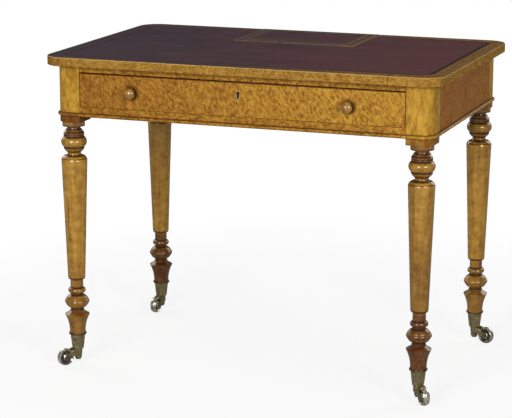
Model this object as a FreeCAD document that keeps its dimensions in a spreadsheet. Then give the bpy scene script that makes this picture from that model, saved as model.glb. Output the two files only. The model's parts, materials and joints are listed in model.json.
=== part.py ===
import FreeCAD, Part
import math
import os
import Sketcher
from types import SimpleNamespace

# A leather-topped writing table with one frieze drawer, a lidded well, turned legs and brass castors.
# Millimetres. X runs along the front (right is positive), Y towards the back, Z up from the floor.

SIZES = (
    # the top
    ("top_width", 935.0),
    ("top_depth", 610.0),
    ("table_height", 730.0),
    ("top_thickness", 21.0),
    ("top_corner_radius", 48.0),
    ("top_arris_radius", 2.5),
    ("top_overhang", 25.0),
    ("border_width", 33.0),
    ("corner_front_length", 119.0),
    ("corner_side_length", 95.0),
    ("leather_thickness", 1.2),
    ("leather_drop", 0.3),
    ("leather_corner_radius", 26.0),
    # the lid in the top and the well below it
    ("lid_width", 300.0),
    ("lid_depth", 220.0),
    ("lid_thickness", 13.2),
    ("lid_rebate_depth", 12.0),
    ("lid_gap", 1.0),
    ("lid_ledge", 14.0),
    ("lid_border_width", 30.0),
    ("lid_corner_radius", 2.0),
    ("lid_arris_radius", 1.2),
    ("well_depth", 80.0),
    ("well_wall", 8.0),
    ("well_floor", 6.0),
    ("pen_tray_depth", 58.0),
    ("pen_tray_height", 22.0),
    ("pen_tray_gap", 0.3),
    ("pen_tray_end", 8.0),
    ("pen_trough_radius", 34.0),
    ("pen_trough_depth", 12.0),
    # the lid's hinges
    ("hinge_spacing", 190.0),
    ("hinge_width", 38.0),
    ("hinge_leaf_depth", 24.0),
    ("hinge_leaf_thickness", 1.6),
    ("hinge_knuckle_radius", 3.0),
    ("hinge_pin_radius", 1.3),
    ("hinge_gap", 0.3),
    ("hinge_screw_spacing", 12.0),
    # fits and fasteners
    ("running_clearance", 0.05),
    ("joint_clearance", 0.1),
    ("cutter_margin", 2.0),
    ("small_screw_radius", 1.1),
    ("small_screw_head_radius", 2.2),
    ("small_screw_head_height", 1.3),
    ("small_screw_length", 6.5),
    ("top_screw_radius", 2.2),
    ("top_screw_head_radius", 4.2),
    ("top_screw_head_height", 2.6),
    ("top_screw_bite", 12.0),
    ("top_screw_pitch", 260.0),
    # the frieze
    ("frieze_height", 116.5),
    ("post_size", 59.0),
    ("post_corner_radius", 28.0),
    ("block_drop", 14.5),
    ("apron_thickness", 22.0),
    ("apron_setback", 0.8),
    ("tenon_thickness", 9.0),
    ("tenon_length", 26.0),
    ("tenon_shoulder", 13.0),
    ("rail_tenon_width", 28.0),
    ("rail_tenon_shoulder", 2.5),
    ("front_rail_depth", 50.0),
    ("upper_rail_height", 14.0),
    ("lower_rail_height", 23.0),
    ("bead_height", 8.0),
    ("bead_projection", 5.0),
    ("bead_inset", 6.0),
    ("bead_nose_radius", 3.8),
    ("runner_width", 20.0),
    ("runner_height", 20.0),
    ("guide_height", 40.0),
    ("kicker_gap", 2.0),
    ("stop_length", 45.0),
    ("stop_depth", 14.0),
    ("stop_height", 5.0),
    ("stop_spacing", 420.0),
    ("glue_block_length", 70.0),
    ("glue_block_width", 18.0),
    ("glue_block_spacing", 240.0),
    # the drawer
    ("drawer_gap", 0.8),
    ("drawer_top_gap", 2.4),
    ("drawer_front_thickness", 20.0),
    ("drawer_well_gap", 26.0),
    ("drawer_side_thickness", 10.0),
    ("drawer_side_height", 70.0),
    ("drawer_back_thickness", 9.0),
    ("drawer_back_inset", 10.0),
    ("drawer_bottom_thickness", 6.0),
    ("drawer_bottom_rise", 8.0),
    ("drawer_groove_depth", 4.0),
    ("dovetail_length", 12.0),
    ("dovetail_width", 12.0),
    ("dovetail_flare", 2.0),
    ("knob_inset", 128.2),
    ("knob_rise", 0.1),
    ("knob_spigot_radius", 6.0),
    ("knob_base_radius", 8.5),
    ("knob_base_height", 2.5),
    ("knob_neck_radius", 6.6),
    ("knob_neck_height", 5.0),
    ("knob_radius", 13.4),
    ("knob_rim_height", 6.0),
    ("knob_length", 23.0),
    ("keyhole_radius", 3.8),
    ("keyhole_slot_width", 4.6),
    ("keyhole_slot_length", 12.0),
    ("keyhole_rise", 14.1),
    ("keyhole_depth", 17.0),
    ("escutcheon_wall", 1.4),
    ("escutcheon_depth", 6.0),
    ("lock_width", 60.0),
    ("lock_height", 46.0),
    ("lock_thickness", 11.0),
    ("bolt_width", 22.0),
    ("bolt_thickness", 5.0),
    ("bolt_height", 30.0),
    ("bolt_travel", 7.0),
    ("bolt_gap", 0.3),
    ("lock_screw_inset", 5.0),
    ("lock_screw_length", 15.0),
    # the turned leg, measured down from its block and up from the castor's cup
    ("collar_height", 12.0),
    ("collar_radius", 26.0),
    ("neck_height", 8.0),
    ("neck_radius", 15.5),
    ("neck_cove", 1.5),
    ("fillet_height", 2.0),
    ("fillet_step", 3.5),
    ("cone_height", 16.0),
    ("ring_radius", 23.8),
    ("ring_band", 3.5),
    ("ring_groove", 1.2),
    ("ring_quirk", 1.8),
    ("ball_height", 25.5),
    ("ball_radius", 29.7),
    ("lower_ring_height", 9.5),
    ("lower_neck_height", 9.0),
    ("shoulder_height", 11.0),
    ("shoulder_round", 13.0),
    ("shaft_top_radius", 30.0),
    ("shaft_foot_radius", 20.0),
    ("ankle_height", 24.0),
    ("ankle_radius", 14.8),
    ("ankle_step", 5.0),
    ("ankle_round", 6.5),
    ("ankle_ring_height", 13.0),
    ("ankle_ring_radius", 20.4),
    ("ankle_neck_height", 4.0),
    ("disc_height", 32.0),
    ("disc_radius", 28.5),
    ("disc_rim_height", 10.0),
    ("disc_rim_bulge", 2.3),
    ("disc_face_round", 18.0),
    ("foot_neck_height", 4.0),
    ("bell_height", 12.0),
    ("bell_radius", 28.3),
    ("bell_fillet", 1.6),
    ("bell_fillet_height", 3.4),
    ("bell_rim", 1.4),
    ("flare_height", 44.0),
    ("flare_cove", 84.0),
    ("flare_foot_radius", 18.4),
    # the castors
    ("cup_bottom", 37.0),
    ("cup_height", 38.0),
    ("cup_rim_height", 3.2),
    ("cup_rim_radius", 20.2),
    ("cup_top_radius", 17.4),
    ("cup_bottom_radius", 13.2),
    ("cup_wall", 2.0),
    ("cup_floor", 3.0),
    ("cup_screw_drop", 16.0),
    ("wheel_radius", 20.0),
    ("wheel_width", 15.0),
    ("wheel_crown", 2.6),
    ("wheel_dish", 1.6),
    ("wheel_hub_radius", 6.5),
    ("wheel_rim_radius", 15.5),
    ("castor_trail", 34.0),
    ("axle_radius", 2.5),
    ("axle_head_radius", 4.2),
    ("axle_head_height", 1.2),
    ("cheek_thickness", 3.6),
    ("cheek_gap", 0.6),
    ("cheek_root", 10.0),
    ("cheek_height", 13.5),
    ("cheek_end_radius", 6.5),
    ("cheek_top_round", 46.0),
    ("cheek_foot_round", 42.0),
    ("slot_gap", 1.5),
    ("boss_top_radius", 10.5),
    ("boss_foot_radius", 8.0),
    ("boss_foot", 13.5),
    ("swivel_gap", 0.4),
    ("pintle_radius", 4.0),
    ("pintle_head_radius", 6.4),
    ("pintle_head_height", 3.0),
    ("pintle_rise", 17.0),
    # the way each castor trails, in degrees from +X
    ("swivel_front_left", 235.0),
    ("swivel_front_right", 308.0),
    ("swivel_back_right", 340.0),
    ("swivel_back_left", 268.0),
)

LEGS = (
    # place, side along X, side along Y
    ("front_left", -1, -1),
    ("front_right", 1, -1),
    ("back_right", 1, 1),
    ("back_left", -1, 1),
)
SIDES = (("left", -1), ("right", 1))
DOVETAILS = 3
LEVEL_TOLERANCE = 1e-6

X_AXIS = FreeCAD.Vector(1, 0, 0)
Y_AXIS = FreeCAD.Vector(0, 1, 0)
Z_AXIS = FreeCAD.Vector(0, 0, 1)
TO_FRONT = FreeCAD.Rotation(X_AXIS, 90)
TO_BACK = FreeCAD.Rotation(X_AXIS, -90)
TO_FLOOR = FreeCAD.Rotation(X_AXIS, 180)
TO_RIGHT = FreeCAD.Rotation(Y_AXIS, 90)
UPRIGHT = FreeCAD.Rotation()


class Size:
    """A length worked out from cells of the sheet: its expression and its present value."""

    def __init__(self, text, value):
        self.text = text
        self.value = value

    def __add__(self, other):
        other = as_size(other)
        return Size(f"({self.text} + {other.text})", self.value + other.value)

    def __sub__(self, other):
        other = as_size(other)
        return Size(f"({self.text} - {other.text})", self.value - other.value)

    def __mul__(self, other):
        other = as_size(other)
        return Size(f"({self.text} * {other.text})", self.value * other.value)

    def __truediv__(self, other):
        other = as_size(other)
        return Size(f"({self.text} / {other.text})", self.value / other.value)

    def __neg__(self):
        return self * -1

    __radd__ = __add__
    __rmul__ = __mul__


def as_size(number):
    return number if isinstance(number, Size) else Size(f"({number})", float(number))


def read_sizes():
    """Fills the sheet and gives each of its cells as a Size."""
    for row, (alias, value) in enumerate(SIZES, 1):
        sheet.set(f"A{row}", alias)
        sheet.set(f"B{row}", str(value))
        sheet.setAlias(f"B{row}", alias)
    doc.recompute()
    cells = {alias: Size(f"Sizes.{alias}", float(getattr(sheet, alias))) for alias, _ in SIZES}
    return SimpleNamespace(**cells)


doc = FreeCAD.newDocument("writing_table")
sheet = doc.addObject("Spreadsheet::Sheet", "Sizes")
S = read_sizes()
ZERO = as_size(0)
pieces = []

# Planes and lines that several pieces share.
half_width = S.top_width / 2
half_depth = S.top_depth / 2
top_under = S.table_height - S.top_thickness
core_top = S.table_height - S.leather_drop - S.leather_thickness
carcass_x = half_width - S.top_overhang
carcass_y = half_depth - S.top_overhang
frieze_bottom = top_under - S.frieze_height
bead_top = frieze_bottom + S.bead_height
block_bottom = frieze_bottom - S.block_drop
leg_x = carcass_x - S.post_size / 2
leg_y = carcass_y - S.post_size / 2
opening_x = carcass_x - S.post_size
opening_y = carcass_y - S.post_size
apron_outer_x = carcass_x - S.apron_setback
apron_inner_x = apron_outer_x - S.apron_thickness
apron_outer_y = carcass_y - S.apron_setback
apron_inner_y = apron_outer_y - S.apron_thickness
rail_rear = -carcass_y + S.front_rail_depth
opening_bottom = frieze_bottom + S.lower_rail_height
opening_top = top_under - S.upper_rail_height
rebate_floor = S.table_height - S.lid_rebate_depth
lid_front = half_depth - S.lid_depth
hinge_axis_y = half_depth - S.hinge_knuckle_radius
lid_rear = hinge_axis_y - S.hinge_knuckle_radius - S.hinge_gap
leaf_front = hinge_axis_y - S.hinge_leaf_depth
table_leaf_foot = rebate_floor - S.hinge_leaf_thickness
lid_leaf_top = rebate_floor + S.hinge_leaf_thickness
well_x = S.lid_width / 2 - S.lid_ledge
well_front = lid_front + S.lid_ledge
well_rear = apron_inner_y - S.well_wall
well_outer_front = well_front - S.well_wall
well_bottom_z = top_under - S.well_depth
drawer_x = opening_x - S.drawer_gap
drawer_front_inner = -carcass_y + S.drawer_front_thickness
drawer_rear = well_outer_front - S.drawer_well_gap
drawer_top = opening_top - S.drawer_top_gap
drawer_inner_x = drawer_x - S.drawer_side_thickness
drawer_side_top = opening_bottom + S.drawer_side_height
drawer_floor = opening_bottom + S.drawer_bottom_rise
drawer_floor_top = drawer_floor + S.drawer_bottom_thickness
kicker_under = drawer_side_top + S.kicker_gap
keyhole_z = (opening_bottom + drawer_top) / 2 + S.keyhole_rise
lock_rear = drawer_front_inner
lock_front = lock_rear - S.lock_thickness
lock_foot = drawer_top - S.lock_height
bolt_y = lock_rear - S.lock_thickness / 2
cup_top = S.cup_bottom + S.cup_height
cup_body_top = cup_top - S.cup_rim_height
spigot_foot = S.cup_bottom + S.cup_floor
horn_top = S.cup_bottom - S.swivel_gap
pintle_top = spigot_foot + S.pintle_rise
cheek_inner = S.wheel_width / 2 + S.cheek_gap
cheek_outer = cheek_inner + S.cheek_thickness


def bind(item, path, size):
    item.setExpression(path, as_size(size).text)


def place(item, x, y, z, rotation=UPRIGHT):
    item.Placement = FreeCAD.Placement(FreeCAD.Vector(), rotation)
    bind(item, "Placement.Base.x", x)
    bind(item, "Placement.Base.y", y)
    bind(item, "Placement.Base.z", z)
    return item


def keep(label, item):
    """Marks a finished sub-part: its label names its file."""
    item.Label = label
    pieces.append(item)
    return item


def span(side, inner, outer):
    """The low and high ends of a stretch on one side of the middle."""
    return (inner, outer) if side > 0 else (-outer, -inner)


def box(name, low, high):
    item = doc.addObject("Part::Box", name)
    bind(item, "Length", high[0] - low[0])
    bind(item, "Width", high[1] - low[1])
    bind(item, "Height", high[2] - low[2])
    return place(item, *low)


def grown(low, high, gap):
    return [end - gap for end in low], [end + gap for end in high]


def cylinder(name, radius, height, x, y, z, rotation=UPRIGHT):
    item = doc.addObject("Part::Cylinder", name)
    bind(item, "Radius", radius)
    bind(item, "Height", height)
    return place(item, x, y, z, rotation)


def cone(name, radius_start, radius_end, height, x, y, z, rotation=UPRIGHT):
    item = doc.addObject("Part::Cone", name)
    bind(item, "Radius1", radius_start)
    bind(item, "Radius2", radius_end)
    bind(item, "Height", height)
    return place(item, x, y, z, rotation)


def cut(name, base, *tools):
    item = doc.addObject("Part::Cut", name)
    item.Base = base
    item.Tool = tools[0] if len(tools) == 1 else fuse(f"{name}_tools", *tools)
    item.Refine = True
    return item


def fuse(name, *shapes):
    item = doc.addObject("Part::MultiFuse", name)
    item.Shapes = list(shapes)
    item.Refine = True
    return item


def common(name, first, second):
    item = doc.addObject("Part::Common", name)
    item.Base = first
    item.Tool = second
    return item


def group(name, solids):
    item = doc.addObject("Part::Compound", name)
    item.Links = solids
    return item


def arc_radius(chord, rise):
    """Radius of the arc that stands up by a rise over a chord."""
    return (chord * chord / 4 + rise * rise) / (rise * 2)


def arc_middle(start, end, side, radius):
    chord = end - start
    normal = FreeCAD.Vector(-chord.y, chord.x, 0).normalize()
    rise = radius - math.sqrt(max(radius * radius - chord.Length ** 2 / 4, 0))
    return (start + end) / 2 + normal * (rise if side == "left" else -rise)


def draw(sketch, points):
    """Draws a closed outline. A point is (x, y), or (x, y, side, radius) where an arc leaves it.

    The arc bulges to that side of the way from its point to the next.
    """
    corners = [FreeCAD.Vector(point[0].value, point[1].value, 0) for point in points]
    following = [(index + 1) % len(points) for index in range(len(points))]
    lines = []
    for index, point in enumerate(points):
        start = corners[index]
        end = corners[following[index]]
        if len(point) == 2:
            lines.append(Part.LineSegment(start, end))
        else:
            lines.append(Part.Arc(start, arc_middle(start, end, point[2], point[3].value), end))
    sketch.addGeometry(lines)
    ends = [line_ends(sketch, index, corner) for index, corner in enumerate(corners)]
    ties = []
    for index, point in enumerate(points):
        after = following[index]
        joined = Sketcher.Constraint("Coincident", index, ends[index][1], after, ends[after][0])
        ties.append(("", joined, None))
        ties += point_ties(index, ends[index][0], point)
        if len(point) == 4:
            rounded = Sketcher.Constraint("Radius", index, point[3].value)
            ties.append((f"round_{index}", rounded, point[3]))
    numbers = sketch.addConstraint([constraint for _, constraint, _ in ties])
    for number, (name, _, size) in zip(numbers, ties):
        if name:
            sketch.renameConstraint(number, name)
            bind(sketch, f"Constraints.{name}", size)


def line_ends(sketch, index, start):
    """Which end of a drawn line or arc is its start, and which its end."""
    first = sketch.getPoint(index, 1).distanceToPoint(start)
    second = sketch.getPoint(index, 2).distanceToPoint(start)
    return (1, 2) if first < second else (2, 1)


def point_ties(index, end, point):
    """What ties one corner of an outline to its place, each with its name and size."""
    ties = []
    directions = (("DistanceX", -2, "across", point[0]), ("DistanceY", -1, "along", point[1]))
    for kind, axis, name, size in directions:
        if size is ZERO:
            ties.append(("", Sketcher.Constraint("PointOnObject", index, end, axis), None))
        else:
            constraint = Sketcher.Constraint(kind, -1, 1, index, end, size.value)
            ties.append((f"{name}_{index}", constraint, size))
    return ties


def new_body(name):
    return doc.addObject("PartDesign::Body", name)


def add_sketch(body, name, role, points, offset=(ZERO, ZERO, ZERO)):
    sketch = body.newObject("Sketcher::SketchObject", f"{body.Name}_{name}")
    plane = next(feature for feature in body.Origin.OriginFeatures if feature.Role == role)
    sketch.AttachmentSupport = [(plane, "")]
    sketch.MapMode = "FlatFace"
    for axis, size in zip("xyz", offset):
        bind(sketch, f"AttachmentOffset.Base.{axis}", size)
    draw(sketch, points)
    return sketch


def add_pad(body, sketch, length, symmetric=False):
    feature = body.newObject("PartDesign::Pad", f"{sketch.Name}_pad")
    feature.Profile = sketch
    if symmetric:
        feature.SideType = "Symmetric"
    bind(feature, "Length", length)
    return feature


def add_pocket(body, sketch, length):
    """Cuts a slot as deep on each side of its sketch."""
    feature = body.newObject("PartDesign::Pocket", f"{sketch.Name}_pocket")
    feature.Profile = sketch
    feature.SideType = "Symmetric"
    bind(feature, "Length", length)
    return feature


def add_revolution(body, sketch):
    feature = body.newObject("PartDesign::Revolution", f"{sketch.Name}_turning")
    feature.Profile = sketch
    feature.ReferenceAxis = (sketch, ["V_Axis"])
    feature.Angle = 360
    return feature


def add_fillet(body, feature, radius, heights):
    """Rounds the level edges at the given heights above the body's own base."""
    doc.recompute([feature])
    names = []
    for number, edge in enumerate(feature.Shape.Edges, 1):
        level = edge.BoundBox
        at_height = any(abs(level.ZMin - height.value) < LEVEL_TOLERANCE for height in heights)
        if at_height and level.ZLength < LEVEL_TOLERANCE:
            names.append(f"Edge{number}")
    fillet = body.newObject("PartDesign::Fillet", f"{body.Name}_fillet")
    fillet.Base = (feature, names)
    bind(fillet, "Radius", radius)
    body.Tip = fillet
    return fillet


def rounded_rectangle(width, depth, radius):
    x = width / 2
    y = depth / 2
    return [
        (-x + radius, -y),
        (x - radius, -y, "right", radius),
        (x, -y + radius),
        (x, y - radius, "right", radius),
        (x - radius, y),
        (-x + radius, y, "right", radius),
        (-x, y - radius),
        (-x, -y + radius, "right", radius),
    ]


def slab(name, width, depth, radius, low, height, middle_y=ZERO):
    """A flat board with rounded corners in plan, lying at a height above the floor."""
    body = new_body(name)
    sketch = add_sketch(body, "plan", "XY_Plane", rounded_rectangle(width, depth, radius))
    add_pad(body, sketch, height)
    return place(body, ZERO, middle_y, low)


def round_slab(body, radius, heights):
    add_fillet(body, body.Tip, radius, heights)
    return body


def screw_shape(name, kind, length, gap, x, y, z, rotation):
    """A countersunk screw that drives along its own axis from the face of its head."""
    radius = getattr(S, f"{kind}_screw_radius") + gap
    head = cone(f"{name}_head", getattr(S, f"{kind}_screw_head_radius") + gap, radius,
                getattr(S, f"{kind}_screw_head_height"), x, y, z, rotation)
    shank = cylinder(f"{name}_shank", radius, length + gap, x, y, z, rotation)
    return fuse(name, head, shank)


def screws_and_holes(name, kind, length, places, rotation):
    """The screws at these places, and the holes that take them."""
    screws = []
    holes = []
    for number, (x, y, z) in enumerate(places, 1):
        screws.append(screw_shape(f"{name}_{number}", kind, length, ZERO, x, y, z, rotation))
        gap = S.running_clearance
        holes.append(screw_shape(f"{name}_hole_{number}", kind, length, gap, x, y, z, rotation))
    return screws, holes


def side_tenon(side_x, side_y):
    """The tenon of a side apron in one leg, as its low and high corners."""
    middle = apron_outer_x - S.apron_thickness / 2
    x_low, x_high = span(side_x, middle - S.tenon_thickness / 2, middle + S.tenon_thickness / 2)
    y_low, y_high = span(side_y, opening_y, opening_y + S.tenon_length)
    low = (x_low, y_low, frieze_bottom + S.tenon_shoulder)
    return low, (x_high, y_high, top_under - S.tenon_shoulder)


def back_tenon(side_x):
    middle = apron_outer_y - S.apron_thickness / 2
    x_low, x_high = span(side_x, opening_x, opening_x + S.tenon_length)
    low = (x_low, middle - S.tenon_thickness / 2, frieze_bottom + S.tenon_shoulder)
    return low, (x_high, middle + S.tenon_thickness / 2, top_under - S.tenon_shoulder)


def rail_tenon(side_x, bottom, top):
    """The tenon of a front rail, which lies flat between the front legs."""
    x_low, x_high = span(side_x, opening_x, opening_x + S.tenon_length)
    middle = -carcass_y + S.front_rail_depth / 2
    low = (x_low, middle - S.rail_tenon_width / 2, bottom)
    return low, (x_high, middle + S.rail_tenon_width / 2, top)


def lower_rail_tenon(side_x):
    return rail_tenon(side_x, bead_top + S.rail_tenon_shoulder, opening_bottom - S.rail_tenon_shoulder)


def upper_rail_tenon(side_x):
    return rail_tenon(side_x, opening_top + S.rail_tenon_shoulder, top_under - S.rail_tenon_shoulder)


def leg_outline():
    """Half the turning's outline, as radius and height, from its block down to the castor's cup."""
    collar_foot = block_bottom - S.collar_height
    neck_foot = collar_foot - S.neck_height
    fillet_foot = neck_foot - S.fillet_height
    cone_foot = neck_foot - S.cone_height
    groove_foot = cone_foot + S.ring_band
    groove_top = groove_foot + S.ring_groove
    ball_foot = cone_foot - S.ball_height
    ring_foot = ball_foot - S.lower_ring_height
    lower_neck_foot = ring_foot - S.lower_neck_height
    shaft_top = lower_neck_foot - S.shoulder_height
    flare_top = cup_top + S.flare_height
    bell_top = flare_top + S.bell_height
    disc_foot = bell_top + S.foot_neck_height
    rim_foot = disc_foot + (S.disc_height - S.disc_rim_height) / 2
    rim_top = rim_foot + S.disc_rim_height
    disc_top = disc_foot + S.disc_height
    ankle_ring_foot = disc_top + S.ankle_neck_height
    ankle_ring_top = ankle_ring_foot + S.ankle_ring_height
    shaft_foot = ankle_ring_top + S.ankle_height
    neck_edge = S.neck_radius + S.neck_cove
    fillet_radius = S.neck_radius + S.fillet_step
    ball_edge = S.ring_radius - S.ring_quirk
    rim_edge = S.disc_radius - S.disc_rim_bulge
    hole_radius = S.pintle_radius + S.joint_clearance
    spigot_gap = S.cup_wall + S.joint_clearance
    return [
        (ZERO, block_bottom),
        (S.collar_radius, block_bottom),
        (S.collar_radius, collar_foot),
        (neck_edge, collar_foot, "right", arc_radius(S.neck_height, S.neck_cove)),
        (neck_edge, neck_foot),
        (fillet_radius, neck_foot),
        (fillet_radius, fillet_foot),
        (S.ring_radius, groove_top + S.ring_band),
        (S.ring_radius, groove_top),
        (ball_edge, groove_top),
        (ball_edge, groove_foot),
        (S.ring_radius, groove_foot),
        (S.ring_radius, cone_foot),
        (ball_edge, cone_foot, "left", arc_radius(S.ball_height, S.ball_radius - ball_edge)),
        (ball_edge, ball_foot),
        (S.ring_radius, ball_foot),
        (S.ring_radius, ball_foot - S.ring_band),
        (fillet_radius, ring_foot),
        (neck_edge, ring_foot, "right", arc_radius(S.lower_neck_height, S.neck_cove)),
        (neck_edge, lower_neck_foot),
        (fillet_radius, lower_neck_foot, "left", S.shoulder_round),
        (S.shaft_top_radius, shaft_top),
        (S.shaft_foot_radius, shaft_foot, "left", S.ankle_round),
        (S.ankle_radius, shaft_foot - S.ankle_step),
        (S.ankle_radius, ankle_ring_top, "left",
         arc_radius(S.ankle_ring_height, S.ankle_ring_radius - S.ankle_radius)),
        (S.ankle_radius, ankle_ring_foot),
        (S.ankle_radius, disc_top, "left", S.disc_face_round),
        (rim_edge, rim_top, "left", arc_radius(S.disc_rim_height, S.disc_rim_bulge)),
        (rim_edge, rim_foot, "left", S.disc_face_round),
        (S.ankle_radius, disc_foot),
        (S.ankle_radius, bell_top),
        (S.ankle_radius + S.bell_fillet, bell_top),
        (S.ankle_radius + S.bell_fillet, bell_top - S.bell_fillet_height),
        (S.bell_radius, flare_top + S.bell_rim),
        (S.bell_radius, flare_top, "right", S.flare_cove),
        (S.flare_foot_radius, cup_top),
        (S.cup_top_radius - spigot_gap, cup_top),
        (S.cup_bottom_radius - spigot_gap, spigot_foot),
        (hole_radius, spigot_foot),
        (hole_radius, pintle_top + S.joint_clearance),
        (ZERO, pintle_top + S.joint_clearance),
    ]


def post_outline():
    half = S.post_size / 2
    return [
        (-half, -half),
        (half, -half),
        (half, half - S.post_corner_radius, "right", S.post_corner_radius),
        (half - S.post_corner_radius, half),
        (-half, half),
    ]


def corner_turn(side_x, side_y):
    """The turn that brings a post's rounded corner to the outside of the table."""
    turn = math.atan2(side_y, side_x) - math.atan2(1, 1)
    return FreeCAD.Rotation(Z_AXIS, math.degrees(turn))


def make_leg(name, side_x, side_y, channel, screw_holes):
    """Post, block and turning in one piece, cut for the bead, the tenons and the castor's screws."""
    body = new_body(f"{name}_turned")
    add_revolution(body, add_sketch(body, "profile", "XZ_Plane", leg_outline()))
    post = add_sketch(body, "post", "XY_Plane", post_outline(), (ZERO, ZERO, block_bottom))
    add_pad(body, post, top_under - block_bottom)
    place(body, leg_x * side_x, leg_y * side_y, ZERO, corner_turn(side_x, side_y))
    tenons = [side_tenon(side_x, side_y)]
    if side_y > 0:
        tenons.append(back_tenon(side_x))
    else:
        tenons.append(lower_rail_tenon(side_x))
        tenons.append(upper_rail_tenon(side_x))
    mortises = [box(f"{name}_mortise", *grown(*tenon, S.joint_clearance)) for tenon in tenons]
    keep(name, cut(f"{name}_cut", body, channel, *mortises, *screw_holes))


def make_bead():
    """The half-round bead let into the foot of the frieze; gives the channel that it lies in."""
    width = carcass_x * 2
    depth = carcass_y * 2
    nose_radius = S.post_corner_radius + S.bead_projection
    grow = S.bead_projection * 2
    plain = slab("bead_blank", width + grow, depth + grow, nose_radius, frieze_bottom, S.bead_height)
    nosed = slab("bead_nosed", width + grow, depth + grow, nose_radius, frieze_bottom, S.bead_height)
    round_slab(nosed, S.bead_nose_radius, (ZERO, S.bead_height))
    inner = slab("bead_inside", width - S.bead_inset * 2, depth - S.bead_inset * 2,
                 S.post_corner_radius - S.bead_inset, frieze_bottom, S.bead_height)
    ring = cut("bead_ring", nosed, inner)
    channel = cut("bead_channel", plain, inner)
    reach_x = carcass_x + S.bead_projection + S.cutter_margin
    reach_y = carcass_y + S.bead_projection + S.cutter_margin
    strips = []
    corners = []
    for side in (-1, 1):
        y_low, y_high = span(side, opening_y, reach_y)
        x_low, x_high = span(side, opening_x, reach_x)
        long_box = box("bead_long", (-opening_x, y_low, frieze_bottom), (opening_x, y_high, bead_top))
        short_box = box("bead_short", (x_low, -opening_y, frieze_bottom), (x_high, opening_y, bead_top))
        strips += [common("bead_strip", ring, part) for part in (long_box, short_box)]
        for other in (-1, 1):
            other_low, other_high = span(other, opening_x, reach_x)
            corner = box("bead_turn", (other_low, y_low, frieze_bottom), (other_high, y_high, bead_top))
            corners.append(common("bead_corner", ring, corner))
    keep("base_bead_strips", group("bead_strips", strips))
    keep("base_bead_corners", group("bead_corners", corners))
    return channel


def make_aprons(channel):
    for name, side in SIDES:
        x_low, x_high = span(side, apron_inner_x, apron_outer_x)
        board = box("side_board", (x_low, -opening_y, frieze_bottom), (x_high, opening_y, top_under))
        tenons = [box("side_tenon", *side_tenon(side, end)) for end in (-1, 1)]
        keep(f"side_apron_{name}", cut("side_apron", fuse("side_blank", board, *tenons), channel))
    low = (-opening_x, apron_inner_y, frieze_bottom)
    board = box("back_board", low, (opening_x, apron_outer_y, top_under))
    tenons = [box("back_tenon", *back_tenon(side)) for side in (-1, 1)]
    keep("back_apron", cut("back_apron_cut", fuse("back_blank", board, *tenons), channel))


def make_front_rails(channel, screw_holes):
    low = (-opening_x, -carcass_y, frieze_bottom)
    board = box("lower_board", low, (opening_x, rail_rear, opening_bottom))
    tenons = [box("lower_tenon", *lower_rail_tenon(side)) for side in (-1, 1)]
    keep("front_bottom_rail", cut("lower_rail", fuse("lower_blank", board, *tenons), channel))
    low = (-opening_x, -carcass_y, opening_top)
    board = box("upper_board", low, (opening_x, rail_rear, top_under))
    tenons = [box("upper_tenon", *upper_rail_tenon(side)) for side in (-1, 1)]
    mortise = box("bolt_mortise", *bolt_mortise())
    keep("front_top_rail", cut("upper_rail", fuse("upper_blank", board, *tenons), mortise, *screw_holes))


def bolt_mortise():
    """The pocket in the rail that takes the raised bolt."""
    half_x = S.bolt_width / 2 + S.bolt_gap
    half_y = S.bolt_thickness / 2 + S.bolt_gap
    top = drawer_top + S.bolt_travel + S.bolt_gap
    return (-half_x, bolt_y - half_y, opening_top), (half_x, bolt_y + half_y, top)


def make_drawer_ways():
    """Runners with their guides, kickers and stops."""
    for name, side in SIDES:
        x_low, x_high = span(side, opening_x - S.runner_width, opening_x)
        low = (x_low, rail_rear, opening_bottom - S.runner_height)
        track = box("runner_track", low, (x_high, apron_inner_y, opening_bottom))
        x_low, x_high = span(side, opening_x, apron_inner_x)
        low = (x_low, -opening_y, opening_bottom - S.runner_height)
        guide = box("runner_guide", low, (x_high, opening_y, opening_bottom + S.guide_height))
        keep(f"drawer_runner_{name}", fuse("runner", track, guide))
    stops = []
    for side in (-1, 1):
        middle = S.stop_spacing / 2 * side
        rear = drawer_front_inner + S.stop_depth
        low = (middle - S.stop_length / 2, drawer_front_inner, opening_bottom)
        high = (middle + S.stop_length / 2, rear, opening_bottom + S.stop_height)
        stops.append(box("stop", low, high))
    keep("drawer_stops", group("stops", stops))


def top_screw_places():
    """Where the screws enter the kickers and the upper rail from below."""
    kicker_x = opening_x - S.runner_width / 2
    kicker_places = [(kicker_x * side, S.top_screw_pitch / 2 * end, kicker_under)
                     for side in (-1, 1) for end in (-1, 1)]
    rail_y = -carcass_y + S.front_rail_depth / 2
    rail_places = [(S.top_screw_pitch / 2 * side, rail_y, opening_top) for side in (-1, 1)]
    return kicker_places, rail_places


def make_kickers():
    """The kickers, and the screws that hold the top down through them and the rail."""
    kicker_places, rail_places = top_screw_places()
    kicker_length = top_under - kicker_under + S.top_screw_bite
    rail_length = S.upper_rail_height + S.top_screw_bite
    kicker_screws, kicker_holes = screws_and_holes("kicker_screw", "top", kicker_length,
                                                   kicker_places, UPRIGHT)
    rail_screws, rail_holes = screws_and_holes("rail_screw", "top", rail_length, rail_places, UPRIGHT)
    kickers = []
    for side in (-1, 1):
        x_low, x_high = span(side, opening_x - S.runner_width, opening_x)
        board = box("kicker_board", (x_low, rail_rear, kicker_under), (x_high, apron_inner_y, top_under))
        kickers.append(cut("kicker", board, *kicker_holes))
    keep("drawer_kickers", group("kickers", kickers))
    keep("top_screws", group("top_screw_group", kicker_screws + rail_screws))
    return kicker_holes, rail_holes


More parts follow.
